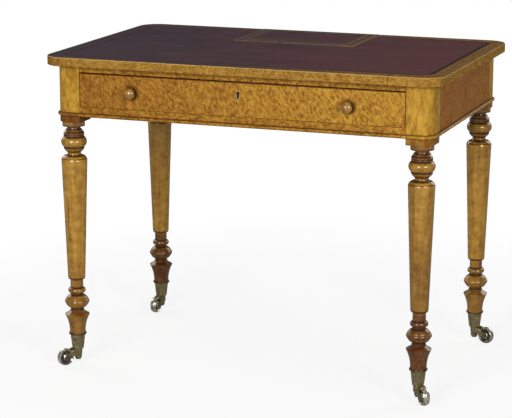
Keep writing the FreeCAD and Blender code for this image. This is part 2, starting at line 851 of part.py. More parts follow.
def glue_block(name, x, y, rotation):
    """A three-cornered block in the angle between an apron and the top."""
    item = doc.addObject("Part::Wedge", name)
    half = S.glue_block_length / 2
    for prop, size in (("Xmin", -half), ("Xmax", half), ("X2min", -half), ("X2max", half),
                       ("Ymin", ZERO), ("Ymax", S.glue_block_width),
                       ("Zmin", -S.glue_block_width), ("Zmax", ZERO), ("Z2min", ZERO), ("Z2max", ZERO)):
        bind(item, prop, size)
    return place(item, x, y, top_under, rotation)


def make_glue_blocks():
    offset = S.glue_block_spacing / 2
    beside_well = well_x + S.well_wall + offset
    to_left = FreeCAD.Rotation(Z_AXIS, 90)
    to_right = FreeCAD.Rotation(Z_AXIS, -90)
    half_turn = FreeCAD.Rotation(Z_AXIS, 180)
    blocks = []
    for side in (-1, 1):
        blocks.append(glue_block("side_block", apron_inner_x, offset * side / 2, to_left))
        blocks.append(glue_block("side_block", -apron_inner_x, offset * side / 2, to_right))
        blocks.append(glue_block("back_block", beside_well * side, apron_inner_y, half_turn))
    keep("glue_blocks", group("glue_block_group", blocks))


def hinge_box(name, middle, half, low, high):
    """A block about the middle of one hinge, between two (y, z) corners."""
    return box(name, (middle - half, *low), (middle + half, *high))


def hinge_barrel(name, x_low, x_high, radius):
    return cylinder(name, radius, x_high - x_low, x_low, hinge_axis_y, rebate_floor, TO_RIGHT)


def make_hinge_leaf(name, middle, foot, top, knuckles, screw_holes):
    """One leaf: a plate with a tongue and a barrel at each of its knuckles."""
    shapes = [hinge_box(f"{name}_plate", middle, S.hinge_width / 2, (leaf_front, foot), (lid_rear, top))]
    for x_low, x_high in knuckles:
        shapes.append(box(f"{name}_tongue", (x_low, lid_rear, foot), (x_high, hinge_axis_y, top)))
        shapes.append(hinge_barrel(f"{name}_barrel", x_low, x_high, S.hinge_knuckle_radius))
    reach = S.hinge_width / 2 + S.cutter_margin
    bore_radius = S.hinge_pin_radius + S.running_clearance
    bore = hinge_barrel(f"{name}_bore", middle - reach, middle + reach, bore_radius)
    return cut(name, fuse(f"{name}_blank", *shapes), bore, *screw_holes)


def hinge_screw_places(middles):
    """Where the screws of both leaves start: the plane between the closed leaves."""
    leaf_middle = (leaf_front + lid_rear) / 2
    places = []
    for middle in middles:
        for step in (-1, 0, 1):
            places.append((middle + S.hinge_screw_spacing * step, leaf_middle, rebate_floor))
    return places


def table_hinge_cuts(middle):
    """The seat of a table leaf and the notch that its barrel lies in."""
    half = S.hinge_width / 2
    seat = hinge_box("table_let_in", middle, half, (leaf_front, table_leaf_foot), (lid_rear, rebate_floor))
    notch_foot = rebate_floor - S.hinge_knuckle_radius - S.hinge_gap
    notch_rear = half_depth + S.cutter_margin
    notch = hinge_box("knuckle_notch", middle, half + S.hinge_gap, (lid_rear, notch_foot),
                      (notch_rear, rebate_floor))
    return [seat, notch]


def lid_hinge_cut(middle):
    low = (leaf_front, rebate_floor)
    return hinge_box("lid_let_in", middle, S.hinge_width / 2, low, (lid_rear, lid_leaf_top))


def make_hinges():
    """Two butt hinges; gives the cuts that the table and the lid need for them."""
    half = S.hinge_width / 2
    knuckle = S.hinge_width / 6
    gap = S.hinge_gap
    middles = [S.hinge_spacing / 2 * side for side in (-1, 1)]
    places = hinge_screw_places(middles)
    length = S.small_screw_length
    table_screws, table_cuts = screws_and_holes("table_leaf_screw", "small", length, places, TO_FLOOR)
    lid_screws, lid_cuts = screws_and_holes("lid_leaf_screw", "small", length, places, UPRIGHT)
    table_holes = list(table_cuts)
    lid_holes = list(lid_cuts)
    table_leaves = []
    lid_leaves = []
    pins = []
    for middle in middles:
        outer = [(middle - half, middle - knuckle - gap), (middle + knuckle + gap, middle + half)]
        inner = [(middle - knuckle, middle + knuckle)]
        table_leaves.append(make_hinge_leaf("table_leaf", middle, table_leaf_foot, rebate_floor,
                                            outer, table_holes))
        lid_leaves.append(make_hinge_leaf("lid_leaf", middle, rebate_floor, lid_leaf_top, inner, lid_holes))
        pins.append(hinge_barrel("hinge_pin", middle - half, middle + half, S.hinge_pin_radius))
        table_cuts += table_hinge_cuts(middle)
        lid_cuts.append(lid_hinge_cut(middle))
    keep("lid_hinge_table_leaves", group("table_leaves", table_leaves))
    keep("lid_hinge_lid_leaves", group("lid_leaves", lid_leaves))
    keep("lid_hinge_pins", group("hinge_pins", pins))
    keep("lid_hinge_table_screws", group("table_leaf_screws", table_screws))
    keep("lid_hinge_lid_screws", group("lid_leaf_screws", lid_screws))
    return table_cuts, lid_cuts


def lid_opening():
    """The rebate in the top that the lid drops into, open at the table's rear edge."""
    reach = S.lid_width / 2 + S.lid_gap
    low = (-reach, lid_front - S.lid_gap, rebate_floor)
    return box("lid_opening", low, (reach, half_depth + S.cutter_margin, S.table_height + S.cutter_margin))


def well_opening():
    low = (-well_x, well_front, top_under - S.cutter_margin)
    return box("well_opening", low, (well_x, well_rear, S.table_height + S.cutter_margin))


def make_top(hinge_cuts, screw_holes):
    """The core, its maple border and the leather."""
    core_width = S.top_width - S.border_width * 2
    core_depth = S.top_depth - S.border_width * 2
    radius = S.leather_corner_radius
    opening = lid_opening()
    core = slab("core_blank", core_width, core_depth, radius, top_under, core_top - top_under)
    keep("top_panel", cut("core", core, opening, well_opening(), *screw_holes, *hinge_cuts))
    leather = slab("leather_blank", core_width, core_depth, radius, core_top, S.leather_thickness)
    keep("writing_leather", cut("leather", leather, opening))
    whole = slab("top_blank", S.top_width, S.top_depth, S.top_corner_radius, top_under, S.top_thickness)
    round_slab(whole, S.top_arris_radius, (ZERO, S.top_thickness))
    inside = slab("border_inside", core_width, core_depth, radius, top_under, S.top_thickness)
    ring = cut("border_ring", whole, inside)
    make_border(ring, opening, hinge_cuts)


def make_border(ring, opening, hinge_cuts):
    joint_x = half_width - S.corner_front_length
    joint_y = half_depth - S.corner_side_length
    strips = []
    corners = []
    for side in (-1, 1):
        y_low, y_high = span(side, half_depth - S.border_width, half_depth)
        x_low, x_high = span(side, half_width - S.border_width, half_width)
        long_box = box("border_long", (-joint_x, y_low, top_under), (joint_x, y_high, S.table_height))
        short_box = box("border_short", (x_low, -joint_y, top_under), (x_high, joint_y, S.table_height))
        long_strip = common("long_strip", ring, long_box)
        if side > 0:
            long_strip = cut("rear_strip", long_strip, opening, *hinge_cuts)
        strips += [long_strip, common("short_strip", ring, short_box)]
        y_low, y_high = span(side, joint_y, half_depth)
        for other in (-1, 1):
            x_low, x_high = span(other, joint_x, half_width)
            corner = box("border_turn", (x_low, y_low, top_under), (x_high, y_high, S.table_height))
            corners.append(common("border_corner", ring, corner))
    keep("top_border", group("border_strips", strips))
    keep("top_border_corners", group("border_corners", corners))


def make_lid(hinge_cuts):
    depth = lid_rear - lid_front
    middle = (lid_rear + lid_front) / 2
    top = rebate_floor + S.lid_thickness
    panel = slab("lid_blank", S.lid_width, depth, S.lid_corner_radius, rebate_floor, S.lid_thickness, middle)
    round_slab(panel, S.lid_arris_radius, (S.lid_thickness,))
    inset_width = S.lid_width - S.lid_border_width * 2
    inset_depth = depth - S.lid_border_width * 2
    recess = S.leather_thickness + S.leather_drop
    pocket = slab("lid_recess", inset_width, inset_depth, S.lid_corner_radius, top - recess, recess, middle)
    keep("lid_panel", cut("lid_cut", panel, pocket, *hinge_cuts))
    keep("lid_leather", slab("lid_leather_skin", inset_width, inset_depth, S.lid_corner_radius,
                             top - recess, S.leather_thickness, middle))


def make_well():
    """The box under the lid: four walls, a floor and a pen tray that lies in it."""
    outer_x = well_x + S.well_wall
    walls = []
    for side in (-1, 1):
        x_low, x_high = span(side, well_x, outer_x)
        low = (x_low, well_outer_front, well_bottom_z)
        walls.append(box("well_end", low, (x_high, apron_inner_y, top_under)))
    for y_low, y_high in ((well_outer_front, well_front), (well_rear, apron_inner_y)):
        walls.append(box("well_wall", (-well_x, y_low, well_bottom_z), (well_x, y_high, top_under)))
    keep("well_walls", group("well_wall_group", walls))
    low = (-outer_x, well_outer_front, well_bottom_z - S.well_floor)
    keep("well_bottom", box("well_floor_board", low, (outer_x, apron_inner_y, well_bottom_z)))
    tray_x = well_x - S.pen_tray_gap
    tray_front = well_front + S.pen_tray_gap
    tray_top = well_bottom_z + S.pen_tray_height
    block = box("tray_block", (-tray_x, tray_front, well_bottom_z),
                (tray_x, tray_front + S.pen_tray_depth, tray_top))
    trough_x = tray_x - S.pen_tray_end
    trough_z = tray_top - S.pen_trough_depth + S.pen_trough_radius
    trough = cylinder("tray_trough", S.pen_trough_radius, trough_x * 2, -trough_x,
                      tray_front + S.pen_tray_depth / 2, trough_z, TO_RIGHT)
    keep("pen_tray", cut("tray", block, trough))


def dovetail(name, x_low, x_high, middle):
    """One tail of a drawer side, wider at its tip in the drawer front."""
    item = doc.addObject("Part::Wedge", name)
    half = S.dovetail_width / 2
    for prop, size in (("Xmin", ZERO), ("Xmax", x_high - x_low), ("X2min", ZERO), ("X2max", x_high - x_low),
                       ("Ymin", ZERO), ("Ymax", S.dovetail_length),
                       ("Zmin", -half - S.dovetail_flare), ("Zmax", half + S.dovetail_flare),
                       ("Z2min", -half), ("Z2max", half)):
        bind(item, prop, size)
    return place(item, x_low, drawer_front_inner - S.dovetail_length, middle)


def make_drawer_sides():
    """The two sides with their tails; gives the tails, which the front is cut for."""
    tails = []
    rear = drawer_rear - S.drawer_back_inset
    for name, side in SIDES:
        x_low, x_high = span(side, drawer_inner_x, drawer_x)
        board = box("side_of_drawer", (x_low, drawer_front_inner, opening_bottom),
                    (x_high, drawer_rear, drawer_side_top))
        own = []
        for step in range(DOVETAILS):
            middle = opening_bottom + S.drawer_side_height * ((step + 0.5) / DOVETAILS)
            own.append(dovetail(f"tail_{name}_{step}", x_low, x_high, middle))
        x_low, x_high = span(side, drawer_inner_x, drawer_inner_x + S.drawer_groove_depth)
        groove = box("bottom_groove", (x_low, drawer_front_inner, drawer_floor),
                     (x_high, drawer_rear, drawer_floor_top))
        housing = box("back_housing", (x_low, rear - S.drawer_back_thickness, drawer_floor_top),
                      (x_high, rear, drawer_side_top))
        blank = fuse(f"drawer_side_blank_{name}", board, *own)
        keep(f"drawer_side_{name}", cut(f"drawer_side_cut_{name}", blank, groove, housing))
        tails += own
    return tails


def make_drawer_boards():
    reach = drawer_inner_x + S.drawer_groove_depth
    rear = drawer_rear - S.drawer_back_inset
    keep("drawer_back", box("drawer_back_board", (-reach, rear - S.drawer_back_thickness, drawer_floor_top),
                            (reach, rear, drawer_side_top)))
    board = box("drawer_bottom_board", (-reach, drawer_front_inner, drawer_floor),
                (reach, drawer_rear, drawer_floor_top))
    keep("drawer_bottom", fuse("drawer_bottom_piece", board, box("bottom_tongue", *front_groove())))


def front_groove():
    """The groove along the drawer front, between the sides, that holds the bottom's front edge."""
    low = (-drawer_inner_x, drawer_front_inner - S.drawer_groove_depth, drawer_floor)
    return low, (drawer_inner_x, drawer_front_inner, drawer_floor_top)


def keyhole(name, grow, depth):
    """A round-topped keyhole, cut in from the drawer's face and wider all round by a wall."""
    radius = S.keyhole_radius + grow
    end = -carcass_y + depth
    eye = cylinder(f"{name}_eye", radius, depth, ZERO, end, keyhole_z, TO_FRONT)
    half = S.keyhole_slot_width / 2 + grow
    slot_foot = keyhole_z - S.keyhole_slot_length - grow
    slot = box(f"{name}_slot", (-half, -carcass_y, slot_foot), (half, end, keyhole_z))
    return fuse(name, eye, slot)


def make_drawer_front(tails):
    """The front, cut for the tails, the bottom, the lock, its screws, the keyhole and the knobs."""
    low = (-drawer_x, -carcass_y, opening_bottom + S.drawer_gap)
    board = box("front_board", low, (drawer_x, drawer_front_inner, drawer_top))
    groove = box("front_groove", *front_groove())
    pocket = box("lock_pocket", *lock_corners())
    shield_seat = keyhole("shield_seat", S.escutcheon_wall, S.escutcheon_depth)
    key_way = keyhole("key_way", ZERO, S.drawer_front_thickness)
    knob_z = (opening_bottom + drawer_top) / 2 + S.knob_rise
    hole_radius = S.knob_spigot_radius + S.joint_clearance
    spigot_holes = []
    for name, side in SIDES:
        middle = (drawer_x - S.knob_inset) * side
        spigot_holes.append(cylinder("spigot_hole", hole_radius, S.drawer_front_thickness,
                                     middle, drawer_front_inner, knob_z, TO_FRONT))
        make_knob(name, middle, knob_z)
    screw_holes = make_lock_screws()
    tools = [*tails, groove, pocket, shield_seat, key_way, *spigot_holes, *screw_holes]
    keep("drawer_front", cut("drawer_front_cut", board, *tools))
    shield = keyhole("shield_outside", S.escutcheon_wall, S.escutcheon_depth)
    keep("escutcheon", cut("shield", shield, keyhole("shield_inside", ZERO, S.escutcheon_depth)))
    make_lock(screw_holes)


def make_knob(name, middle, height):
    """A turned knob on a spigot that goes right through the drawer front."""
    neck_top = S.knob_base_height + S.knob_neck_height
    rim_top = neck_top + S.knob_rim_height
    outline = [
        (ZERO, -S.drawer_front_thickness),
        (S.knob_spigot_radius, -S.drawer_front_thickness),
        (S.knob_spigot_radius, ZERO),
        (S.knob_base_radius, ZERO),
        (S.knob_base_radius, S.knob_base_height),
        (S.knob_neck_radius, S.knob_base_height),
        (S.knob_neck_radius, neck_top, "right", S.knob_neck_radius + S.knob_rim_height),
        (S.knob_radius, rim_top, "right", arc_radius(S.knob_radius * 2, S.knob_length - rim_top)),
        (ZERO, S.knob_length),
    ]
    body = new_body(f"knob_turning_{name}")
    add_revolution(body, add_sketch(body, "profile", "XZ_Plane", outline))
    keep(f"knob_{name}", place(body, middle, -carcass_y, height, TO_FRONT))


def lock_corners():
    return (-S.lock_width / 2, lock_front, lock_foot), (S.lock_width / 2, lock_rear, drawer_top)


def make_lock_screws():
    """Screws at the lock's lower and upper corners, driven into the drawer front."""
    places = []
    for side in (-1, 1):
        x = (S.lock_width / 2 - S.lock_screw_inset) * side
        for height in (lock_foot + S.lock_screw_inset, drawer_top - S.lock_screw_inset):
            places.append((x, lock_rear, height))
    screws, holes = screws_and_holes("lock_screw", "small", S.lock_screw_length, places, TO_FRONT)
    keep("lock_screws", group("lock_screw_group", screws))
    return holes


def make_lock(screw_holes):
    """The lock's case with its bolt, which slides up out of it."""
    case = box("lock_block", *lock_corners())
    half = S.bolt_width / 2
    low = (-half, bolt_y - S.bolt_thickness / 2, drawer_top - S.bolt_height)
    high = (half, bolt_y + S.bolt_thickness / 2, drawer_top)
    bolt_way = box("bolt_way", *grown(low, high, S.bolt_gap))
    key_way = keyhole("lock_key_way", ZERO, S.keyhole_depth)
    keep("lock_case", cut("lock_case_cut", case, bolt_way, key_way, *screw_holes))
    keep("lock_bolt", cut("lock_bolt_cut", box("bolt_block", low, high), key_way_clear()))


def key_way_clear():
    """The bolt's notch, which leaves the key's way open as the bolt moves."""
    half = S.keyhole_radius + S.bolt_gap
    low = (-half, -carcass_y, drawer_top - S.bolt_height)
    return box("bolt_notch", low, (half, drawer_front_inner, keyhole_z + S.keyhole_radius + S.bolt_gap))


def make_cup(name, side_x, side_y, screw_holes):
    outline = [
        (S.pintle_radius + S.joint_clearance, S.cup_bottom),
        (S.cup_bottom_radius, S.cup_bottom),
        (S.cup_top_radius, cup_body_top),
        (S.cup_rim_radius, cup_body_top, "right", S.cup_rim_height),
        (S.cup_rim_radius, cup_top),
        (S.cup_top_radius - S.cup_wall, cup_top),
        (S.cup_bottom_radius - S.cup_wall, spigot_foot),
        (S.pintle_radius + S.joint_clearance, spigot_foot),
    ]
    body = new_body(f"cup_turning_{name}")
    add_revolution(body, add_sketch(body, "profile", "XZ_Plane", outline))
    place(body, leg_x * side_x, leg_y * side_y, ZERO)
    keep(f"castor_cup_{name}", cut(f"cup_{name}", body, *screw_holes))


def cup_screw_places(side_x, side_y):
    level = cup_top - S.cup_screw_drop
    slope = (S.cup_top_radius - S.cup_bottom_radius) / (cup_body_top - S.cup_bottom)
    radius = S.cup_bottom_radius + slope * (level - S.cup_bottom)
    x = leg_x * side_x
    y = leg_y * side_y
    return (x, y - radius, level), (x, y + radius, level)


def make_cup_screws(name, side_x, side_y):
    front, back = cup_screw_places(side_x, side_y)
    length = S.small_screw_length
    front_screws, front_holes = screws_and_holes(f"cup_front_{name}", "small", length, [front], TO_BACK)
    back_screws, back_holes = screws_and_holes(f"cup_back_{name}", "small", length, [back], TO_FRONT)
    return front_screws + back_screws, front_holes + back_holes


def castor_place(body, place_name, side_x, side_y):
    """Stands a castor's piece under its leg, turned the way that the castor trails."""
    swivel = getattr(S, f"swivel_{place_name}")
    place(body, leg_x * side_x, leg_y * side_y, ZERO, FreeCAD.Rotation(Z_AXIS, swivel.value))
    bind(body, "Placement.Rotation.Angle", swivel)
    return body


def make_pintle(name, side_x, side_y):
    """The headed pin that hangs the horn under its cup."""
    head_foot = S.boss_foot - S.swivel_gap - S.pintle_head_height
    outline = [
        (ZERO, head_foot),
        (S.pintle_head_radius, head_foot),
        (S.pintle_head_radius, head_foot + S.pintle_head_height),
        (S.pintle_radius, head_foot + S.pintle_head_height),
        (S.pintle_radius, pintle_top),
        (ZERO, pintle_top),
    ]
    body = new_body(f"pintle_{name}")
    add_revolution(body, add_sketch(body, "profile", "XZ_Plane", outline))
    return place(body, leg_x * side_x, leg_y * side_y, ZERO)


def make_horn(name, side_x, side_y):
    """A boss with two curved cheeks that hold the wheel behind it."""
    body = new_body(f"horn_{name}")
    end = S.castor_trail + S.cheek_end_radius
    cheek_foot = horn_top - S.cheek_height
    cheek = [
        (ZERO, horn_top),
        (ZERO, cheek_foot),
        (S.cheek_root, cheek_foot, "left", S.cheek_foot_round),
        (S.castor_trail, S.wheel_radius - S.cheek_end_radius, "right", S.cheek_end_radius),
        (end, S.wheel_radius, "right", S.cheek_top_round),
        (S.cheek_root, horn_top),
    ]
    add_pad(body, add_sketch(body, "cheek", "XZ_Plane", cheek), cheek_outer * 2, symmetric=True)
    slot_start = S.castor_trail - S.wheel_radius - S.slot_gap
    slot = [
        (slot_start, ZERO),
        (end + S.cutter_margin, ZERO),
        (end + S.cutter_margin, S.cup_bottom),
        (slot_start, S.cup_bottom),
    ]
    add_pocket(body, add_sketch(body, "slot", "XZ_Plane", slot), cheek_inner * 2)
    bore = S.pintle_radius + S.running_clearance
    boss = [
        (ZERO, S.boss_foot),
        (S.boss_foot_radius, S.boss_foot),
        (S.boss_top_radius, horn_top),
        (ZERO, horn_top),
    ]
    add_revolution(body, add_sketch(body, "boss", "XZ_Plane", boss))
    castor_place(body, name, side_x, side_y)
    x = leg_x * side_x
    y = leg_y * side_y
    pintle_hole = cylinder(f"pintle_hole_{name}", bore, S.cup_bottom, x, y, ZERO)
    axle = make_axle(name, side_x, side_y)
    keep(f"castor_horn_{name}", cut(f"horn_cut_{name}", body, pintle_hole, axle))


def axle_body(label, name, side_x, side_y, outline):
    """A turning about the wheel's axle."""
    body = new_body(f"{label}_{name}")
    centre = (S.castor_trail, ZERO, S.wheel_radius)
    add_revolution(body, add_sketch(body, "profile", "XY_Plane", outline, centre))
    return castor_place(body, name, side_x, side_y)


def make_axle(name, side_x, side_y):
    end = cheek_outer + S.axle_head_height
    outline = [
        (ZERO, -end),
        (S.axle_head_radius, -end),
        (S.axle_head_radius, -cheek_outer),
        (S.axle_radius, -cheek_outer),
        (S.axle_radius, cheek_outer),
        (S.axle_head_radius, cheek_outer),
        (S.axle_head_radius, end),
        (ZERO, end),
    ]
    return keep(f"castor_axle_{name}", axle_body("axle", name, side_x, side_y, outline))


def make_wheel(name, side_x, side_y):
    """A brass wheel with a rounded tread and dished sides."""
    half = S.wheel_width / 2
    shoulder = S.wheel_radius - S.wheel_crown
    bore = S.axle_radius + S.running_clearance
    outline = [
        (bore, -half),
        (S.wheel_hub_radius, -half),
        (S.wheel_hub_radius + S.wheel_dish, -half + S.wheel_dish),
        (S.wheel_rim_radius - S.wheel_dish, -half + S.wheel_dish),
        (S.wheel_rim_radius, -half),
        (shoulder, -half, "right", arc_radius(S.wheel_width, S.wheel_crown)),
        (shoulder, half),
        (S.wheel_rim_radius, half),
        (S.wheel_rim_radius - S.wheel_dish, half - S.wheel_dish),
        (S.wheel_hub_radius + S.wheel_dish, half - S.wheel_dish),
        (S.wheel_hub_radius, half),
        (bore, half),
    ]
    keep(f"castor_wheel_{name}", axle_body("wheel", name, side_x, side_y, outline))


def make_legs_and_castors(channel):
    screws = []
    pintles = []
    for name, side_x, side_y in LEGS:
        own_screws, holes = make_cup_screws(name, side_x, side_y)
        make_leg(f"leg_{name}", side_x, side_y, channel, holes)
        make_cup(name, side_x, side_y, holes)
        make_horn(name, side_x, side_y)
        make_wheel(name, side_x, side_y)
        pintles.append(make_pintle(name, side_x, side_y))
        screws += own_screws
    keep("castor_pintles", group("pintle_group", pintles))
    keep("castor_cup_screws", group("cup_screw_group", screws))


def make_table():
    channel = make_bead()
    make_legs_and_castors(channel)
    make_aprons(channel)
    make_drawer_ways()
    kicker_holes, rail_holes = make_kickers()
    make_front_rails(channel, rail_holes)
    make_glue_blocks()
    table_cuts, lid_cuts = make_hinges()
    make_top(table_cuts, kicker_holes + rail_holes)
    make_lid(lid_cuts)
    make_well()
    make_drawer_front(make_drawer_sides())
    make_drawer_boards()


def check_document():
    """Stops if anything failed to build."""
    for item in doc.Objects:
        if "Invalid" in item.State or "Error" in item.State:
            raise RuntimeError(f"{item.Name} failed: {item.State}")
    for item in pieces:
        if item.Shape.isNull() or not item.Shape.isValid() or not item.Shape.Solids:
            raise RuntimeError(f"{item.Label} has no valid solid")


make_table()
doc.recompute()
check_document()
os.makedirs("parts", exist_ok=True)
for piece in pieces:
    piece.Shape.exportStep(f"parts/{piece.Label}.step")
print(len(pieces), "sub-parts written")
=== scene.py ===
import json
import math

import bmesh
import bpy
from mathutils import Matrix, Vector


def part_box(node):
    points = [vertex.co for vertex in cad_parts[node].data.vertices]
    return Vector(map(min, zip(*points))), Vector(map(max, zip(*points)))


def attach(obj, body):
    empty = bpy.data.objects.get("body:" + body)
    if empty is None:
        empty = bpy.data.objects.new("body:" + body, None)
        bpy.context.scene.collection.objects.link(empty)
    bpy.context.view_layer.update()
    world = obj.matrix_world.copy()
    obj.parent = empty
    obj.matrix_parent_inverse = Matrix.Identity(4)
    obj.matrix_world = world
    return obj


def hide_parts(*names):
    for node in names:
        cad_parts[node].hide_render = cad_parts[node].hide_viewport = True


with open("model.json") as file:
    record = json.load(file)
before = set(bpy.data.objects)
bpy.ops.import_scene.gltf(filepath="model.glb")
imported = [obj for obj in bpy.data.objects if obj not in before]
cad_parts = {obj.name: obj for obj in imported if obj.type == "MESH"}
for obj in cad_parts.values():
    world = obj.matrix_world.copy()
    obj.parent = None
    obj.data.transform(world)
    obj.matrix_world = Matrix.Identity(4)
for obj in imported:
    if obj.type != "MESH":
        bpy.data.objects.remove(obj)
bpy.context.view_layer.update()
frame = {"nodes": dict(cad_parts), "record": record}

# A bird's-eye maple writing table with a leather top, a frieze drawer, turned legs and brass castors.
# Metres. X runs along the front (right is positive), Y towards the back, Z up from the floor.

NODES = frame["nodes"]
CORNERS = ("front_left", "front_right", "back_right", "back_left")

# Places that the finishes follow, at the frieze and the top. A pair is where a change of tone begins and ends
# along one axis.

FRIEZE_BOTTOM = 0.5925
BEAD_TOP = 0.6005
# The rise and width of a dark line of dirt and painted shade above and below the bead.
BEAD_LINE_RISE = 0.0004
BEAD_LINE_WIDTH = 0.0022
BLOCK_BOTTOM = 0.578
BLOCK_SHADE_HEIGHT = 0.002
BORDER_JOINT = 0.3485
BORDER_JOINT_WIDTH = 0.0016
BORDER_LEFT_END = (-0.462, -0.405)
BORDER_TOP_SHADE_FADES = (-0.10, 0.45)
FRONT_EDGE = (-0.28, -0.27)
NEW_VENEER_START = 0.3450
NEW_VENEER_TOP = 0.6195
LEFT_TO_RIGHT = (-0.2, 0.2)
DRAWER_PALES = (-0.40, 0.34)
LEATHER_SHEEN_END = (-0.44, -0.08)
LEATHER_WARMS = (-0.25, 0.42)
LEATHER_RIM_DARKENS = (-0.35, 0.35)
LEATHER_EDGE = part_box("writing_leather")[1]
DRAWER_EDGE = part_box("drawer_front")[1].x
DRAWER_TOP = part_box("drawer_front")[1].z
DRAWER_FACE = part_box("drawer_front")[0].y
LID_LOW, LID_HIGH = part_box("lid_panel")
LID_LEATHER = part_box("lid_leather")[1]
KNOB_LOW, KNOB_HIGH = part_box("knob_right")
KNOB_MIDDLE = (KNOB_LOW + KNOB_HIGH) / 2
KNOB_RADIUS = KNOB_MIDDLE.x - KNOB_LOW.x
KNOB_LENGTH = DRAWER_FACE - KNOB_LOW.y
# Half the width over which a sharp change of tone fades, and the same at the right side of the lid's frame.
SOFT_EDGE = 0.0005
LID_SIDE_CHANGE = 0.01
# How far the border's surface faces up where its flat top begins, and where the painted highlight and wear on
# its rounded edge begin and end.
BORDER_FLAT_TOP = (0.80, 0.97)
BORDER_EDGE_BEGINS = (0.10, 0.40)
BORDER_EDGE_ENDS = (0.70, 0.95)
# How far inside an edge a dark line of painted shade begins, and where it is full: in the drawer's gaps, with
# some dirt, and where the leather meets the border.
DRAWER_SIDE_LINE = (0.0022, 0.0008)
DRAWER_TOP_LINE = (0.0026, 0.0010)
LEATHER_RIM_LINE = (0.010, 0.007)
# The dark band on the lid's frame, as shares of the frame's width.
LID_BAND_OUTSIDE = (0.26, 0.34)
LID_BAND_INSIDE = (0.66, 0.74)
# Dirt and painted shade behind a knob's crown, as shares of its length, and round it on the drawer, in radii.
KNOB_DARK_BEHIND = (0.20, 0.52)
KNOB_DARK_ROUND = (0.9, 1.6)

# Places that the finishes follow, at the legs and castors

CRACK_X = -0.4193
CRACK_WANDER = 0.0030
CRACK_HALF_WIDTH = (0.0004, 0.0013)
CRACK_MIDDLE = 0.350
CRACK_LENGTH = 0.072
CRACK_FRONT = (-0.262, -0.255)
HEAD_BOTTOM = (0.492, 0.500)
HEAD_RINGS = 0.5560
HEAD_RINGS_HEIGHT = 0.026
SHAFT_STAIN = (0.210, 0.480)
FOOT_TOP = (0.195, 0.210)
BELL_TOP = (0.128, 0.134)
FOOT_SHOULDER = 0.1255
FOOT_SHOULDER_HEIGHT = 0.0085
CUP_RIM = 0.0716
# Heights and widths of the turning's grooves, where dirt and old polish have gathered; they are darkened also
# as painted shade.
HEAD_GROOVES = (
    (0.5657, 0.0030),
    (0.5580, 0.0026),
    (0.5515, 0.0026),
    (0.5461, 0.0028),
    (0.5412, 0.0034),
    (0.5162, 0.0040),
    (0.5070, 0.0030),
    (0.4978, 0.0030),
    (0.4905, 0.0014),
)
FOOT_GROOVES = (
    (0.2066, 0.0036),
    (0.1845, 0.0030),
    (0.1690, 0.0050),
    (0.1330, 0.0044),
)

# Colours of dirt, stain and wear, and of painted shade, sheen, reflection and highlight

CREASE_DIRT_AND_SHADE = (0.016, 0.005, 0.002)
BEAD_DIRT_AND_SHADE = (0.060, 0.020, 0.006)
DRAWER_DIRT_AND_SHADE = (0.050, 0.014, 0.004)
JOINT_DIRT = (0.050, 0.018, 0.006)
KNOB_DIRT_AND_SHADE = (0.055, 0.014, 0.006)
GROOVE_DIRT_AND_SHADE = (0.056, 0.015, 0.005)
LINING_DIRT = (0.110, 0.060, 0.030)
KNOT_BROWN = (0.060, 0.022, 0.008)
CRACK_BROWN = (0.045, 0.012, 0.004)
FOOT_STAIN = (0.086, 0.019, 0.006)
BORDER_TOP_SHADE = (0.070, 0.053, 0.067)
BORDER_WORN_HIGHLIGHT = (0.600, 0.400, 0.130)
LID_BAND = (0.098, 0.062, 0.062)
LEATHER_WARM = (0.160, 0.056, 0.054)
LEATHER_SHEEN = (0.062, 0.050, 0.066)
LEATHER_RUBBED = (0.170, 0.125, 0.134)
LEATHER_SCRATCH = (0.180, 0.135, 0.130)
LEATHER_RIM_SHADE = (0.022, 0.014, 0.022)
WARM_POLISH = (1.0, 0.82, 0.56, 1.0)

# Shader building

# A Mix node's sockets for colours; its other sockets carry numbers and vectors.
FIRST_COLOUR = 6
SECOND_COLOUR = 7
MIXED_COLOUR = 2


class Tree:
    """Adds nodes to a node tree and joins them."""

    def __init__(self, tree):
        self.tree = tree

    def add(self, kind, **settings):
        node = self.tree.nodes.new(kind)
        for name, value in settings.items():
            setattr(node, name, value)
        return node

    def feed(self, socket, value):
        """Links a socket, or sets a plain number, colour or vector."""
        if isinstance(value, bpy.types.NodeSocket):
            self.tree.links.new(value, socket)
        else:
            socket.default_value = value

    def math(self, operation, first, second=0.0, third=0.0):
        node = self.add("ShaderNodeMath", operation=operation)
        for socket, value in zip(node.inputs, (first, second, third)):
            self.feed(socket, value)
        return node.outputs["Value"]

    def times(self, first, second):
        return self.math("MULTIPLY", first, second)

    def most(self, *values):
        """The largest of several values."""
        largest = values[0]
        for value in values[1:]:
            largest = self.math("MAXIMUM", largest, value)
        return largest

    def between(self, value, low, high, start=0.0, end=1.0):
        """The value's way from low to high, as a smooth step from start to end."""
        node = self.add("ShaderNodeMapRange", interpolation_type="SMOOTHSTEP")
        self.feed(node.inputs["Value"], value)
        node.inputs["From Min"].default_value = low
        node.inputs["From Max"].default_value = high
        node.inputs["To Min"].default_value = start
        node.inputs["To Max"].default_value = end
        return node.outputs["Result"]

    def fading(self, value, low, high, start=1.0):
        """A smooth step down from start to 0 as the value goes from low to high."""
        return self.between(value, low, high, start, 0.0)

    def coordinate(self, kind):
        return self.add("ShaderNodeTexCoord").outputs[kind]

    def part(self, vector, axis):
        """A vector's part along one axis."""
        node = self.add("ShaderNodeSeparateXYZ")
        self.feed(node.inputs["Vector"], vector)
        return node.outputs[axis]


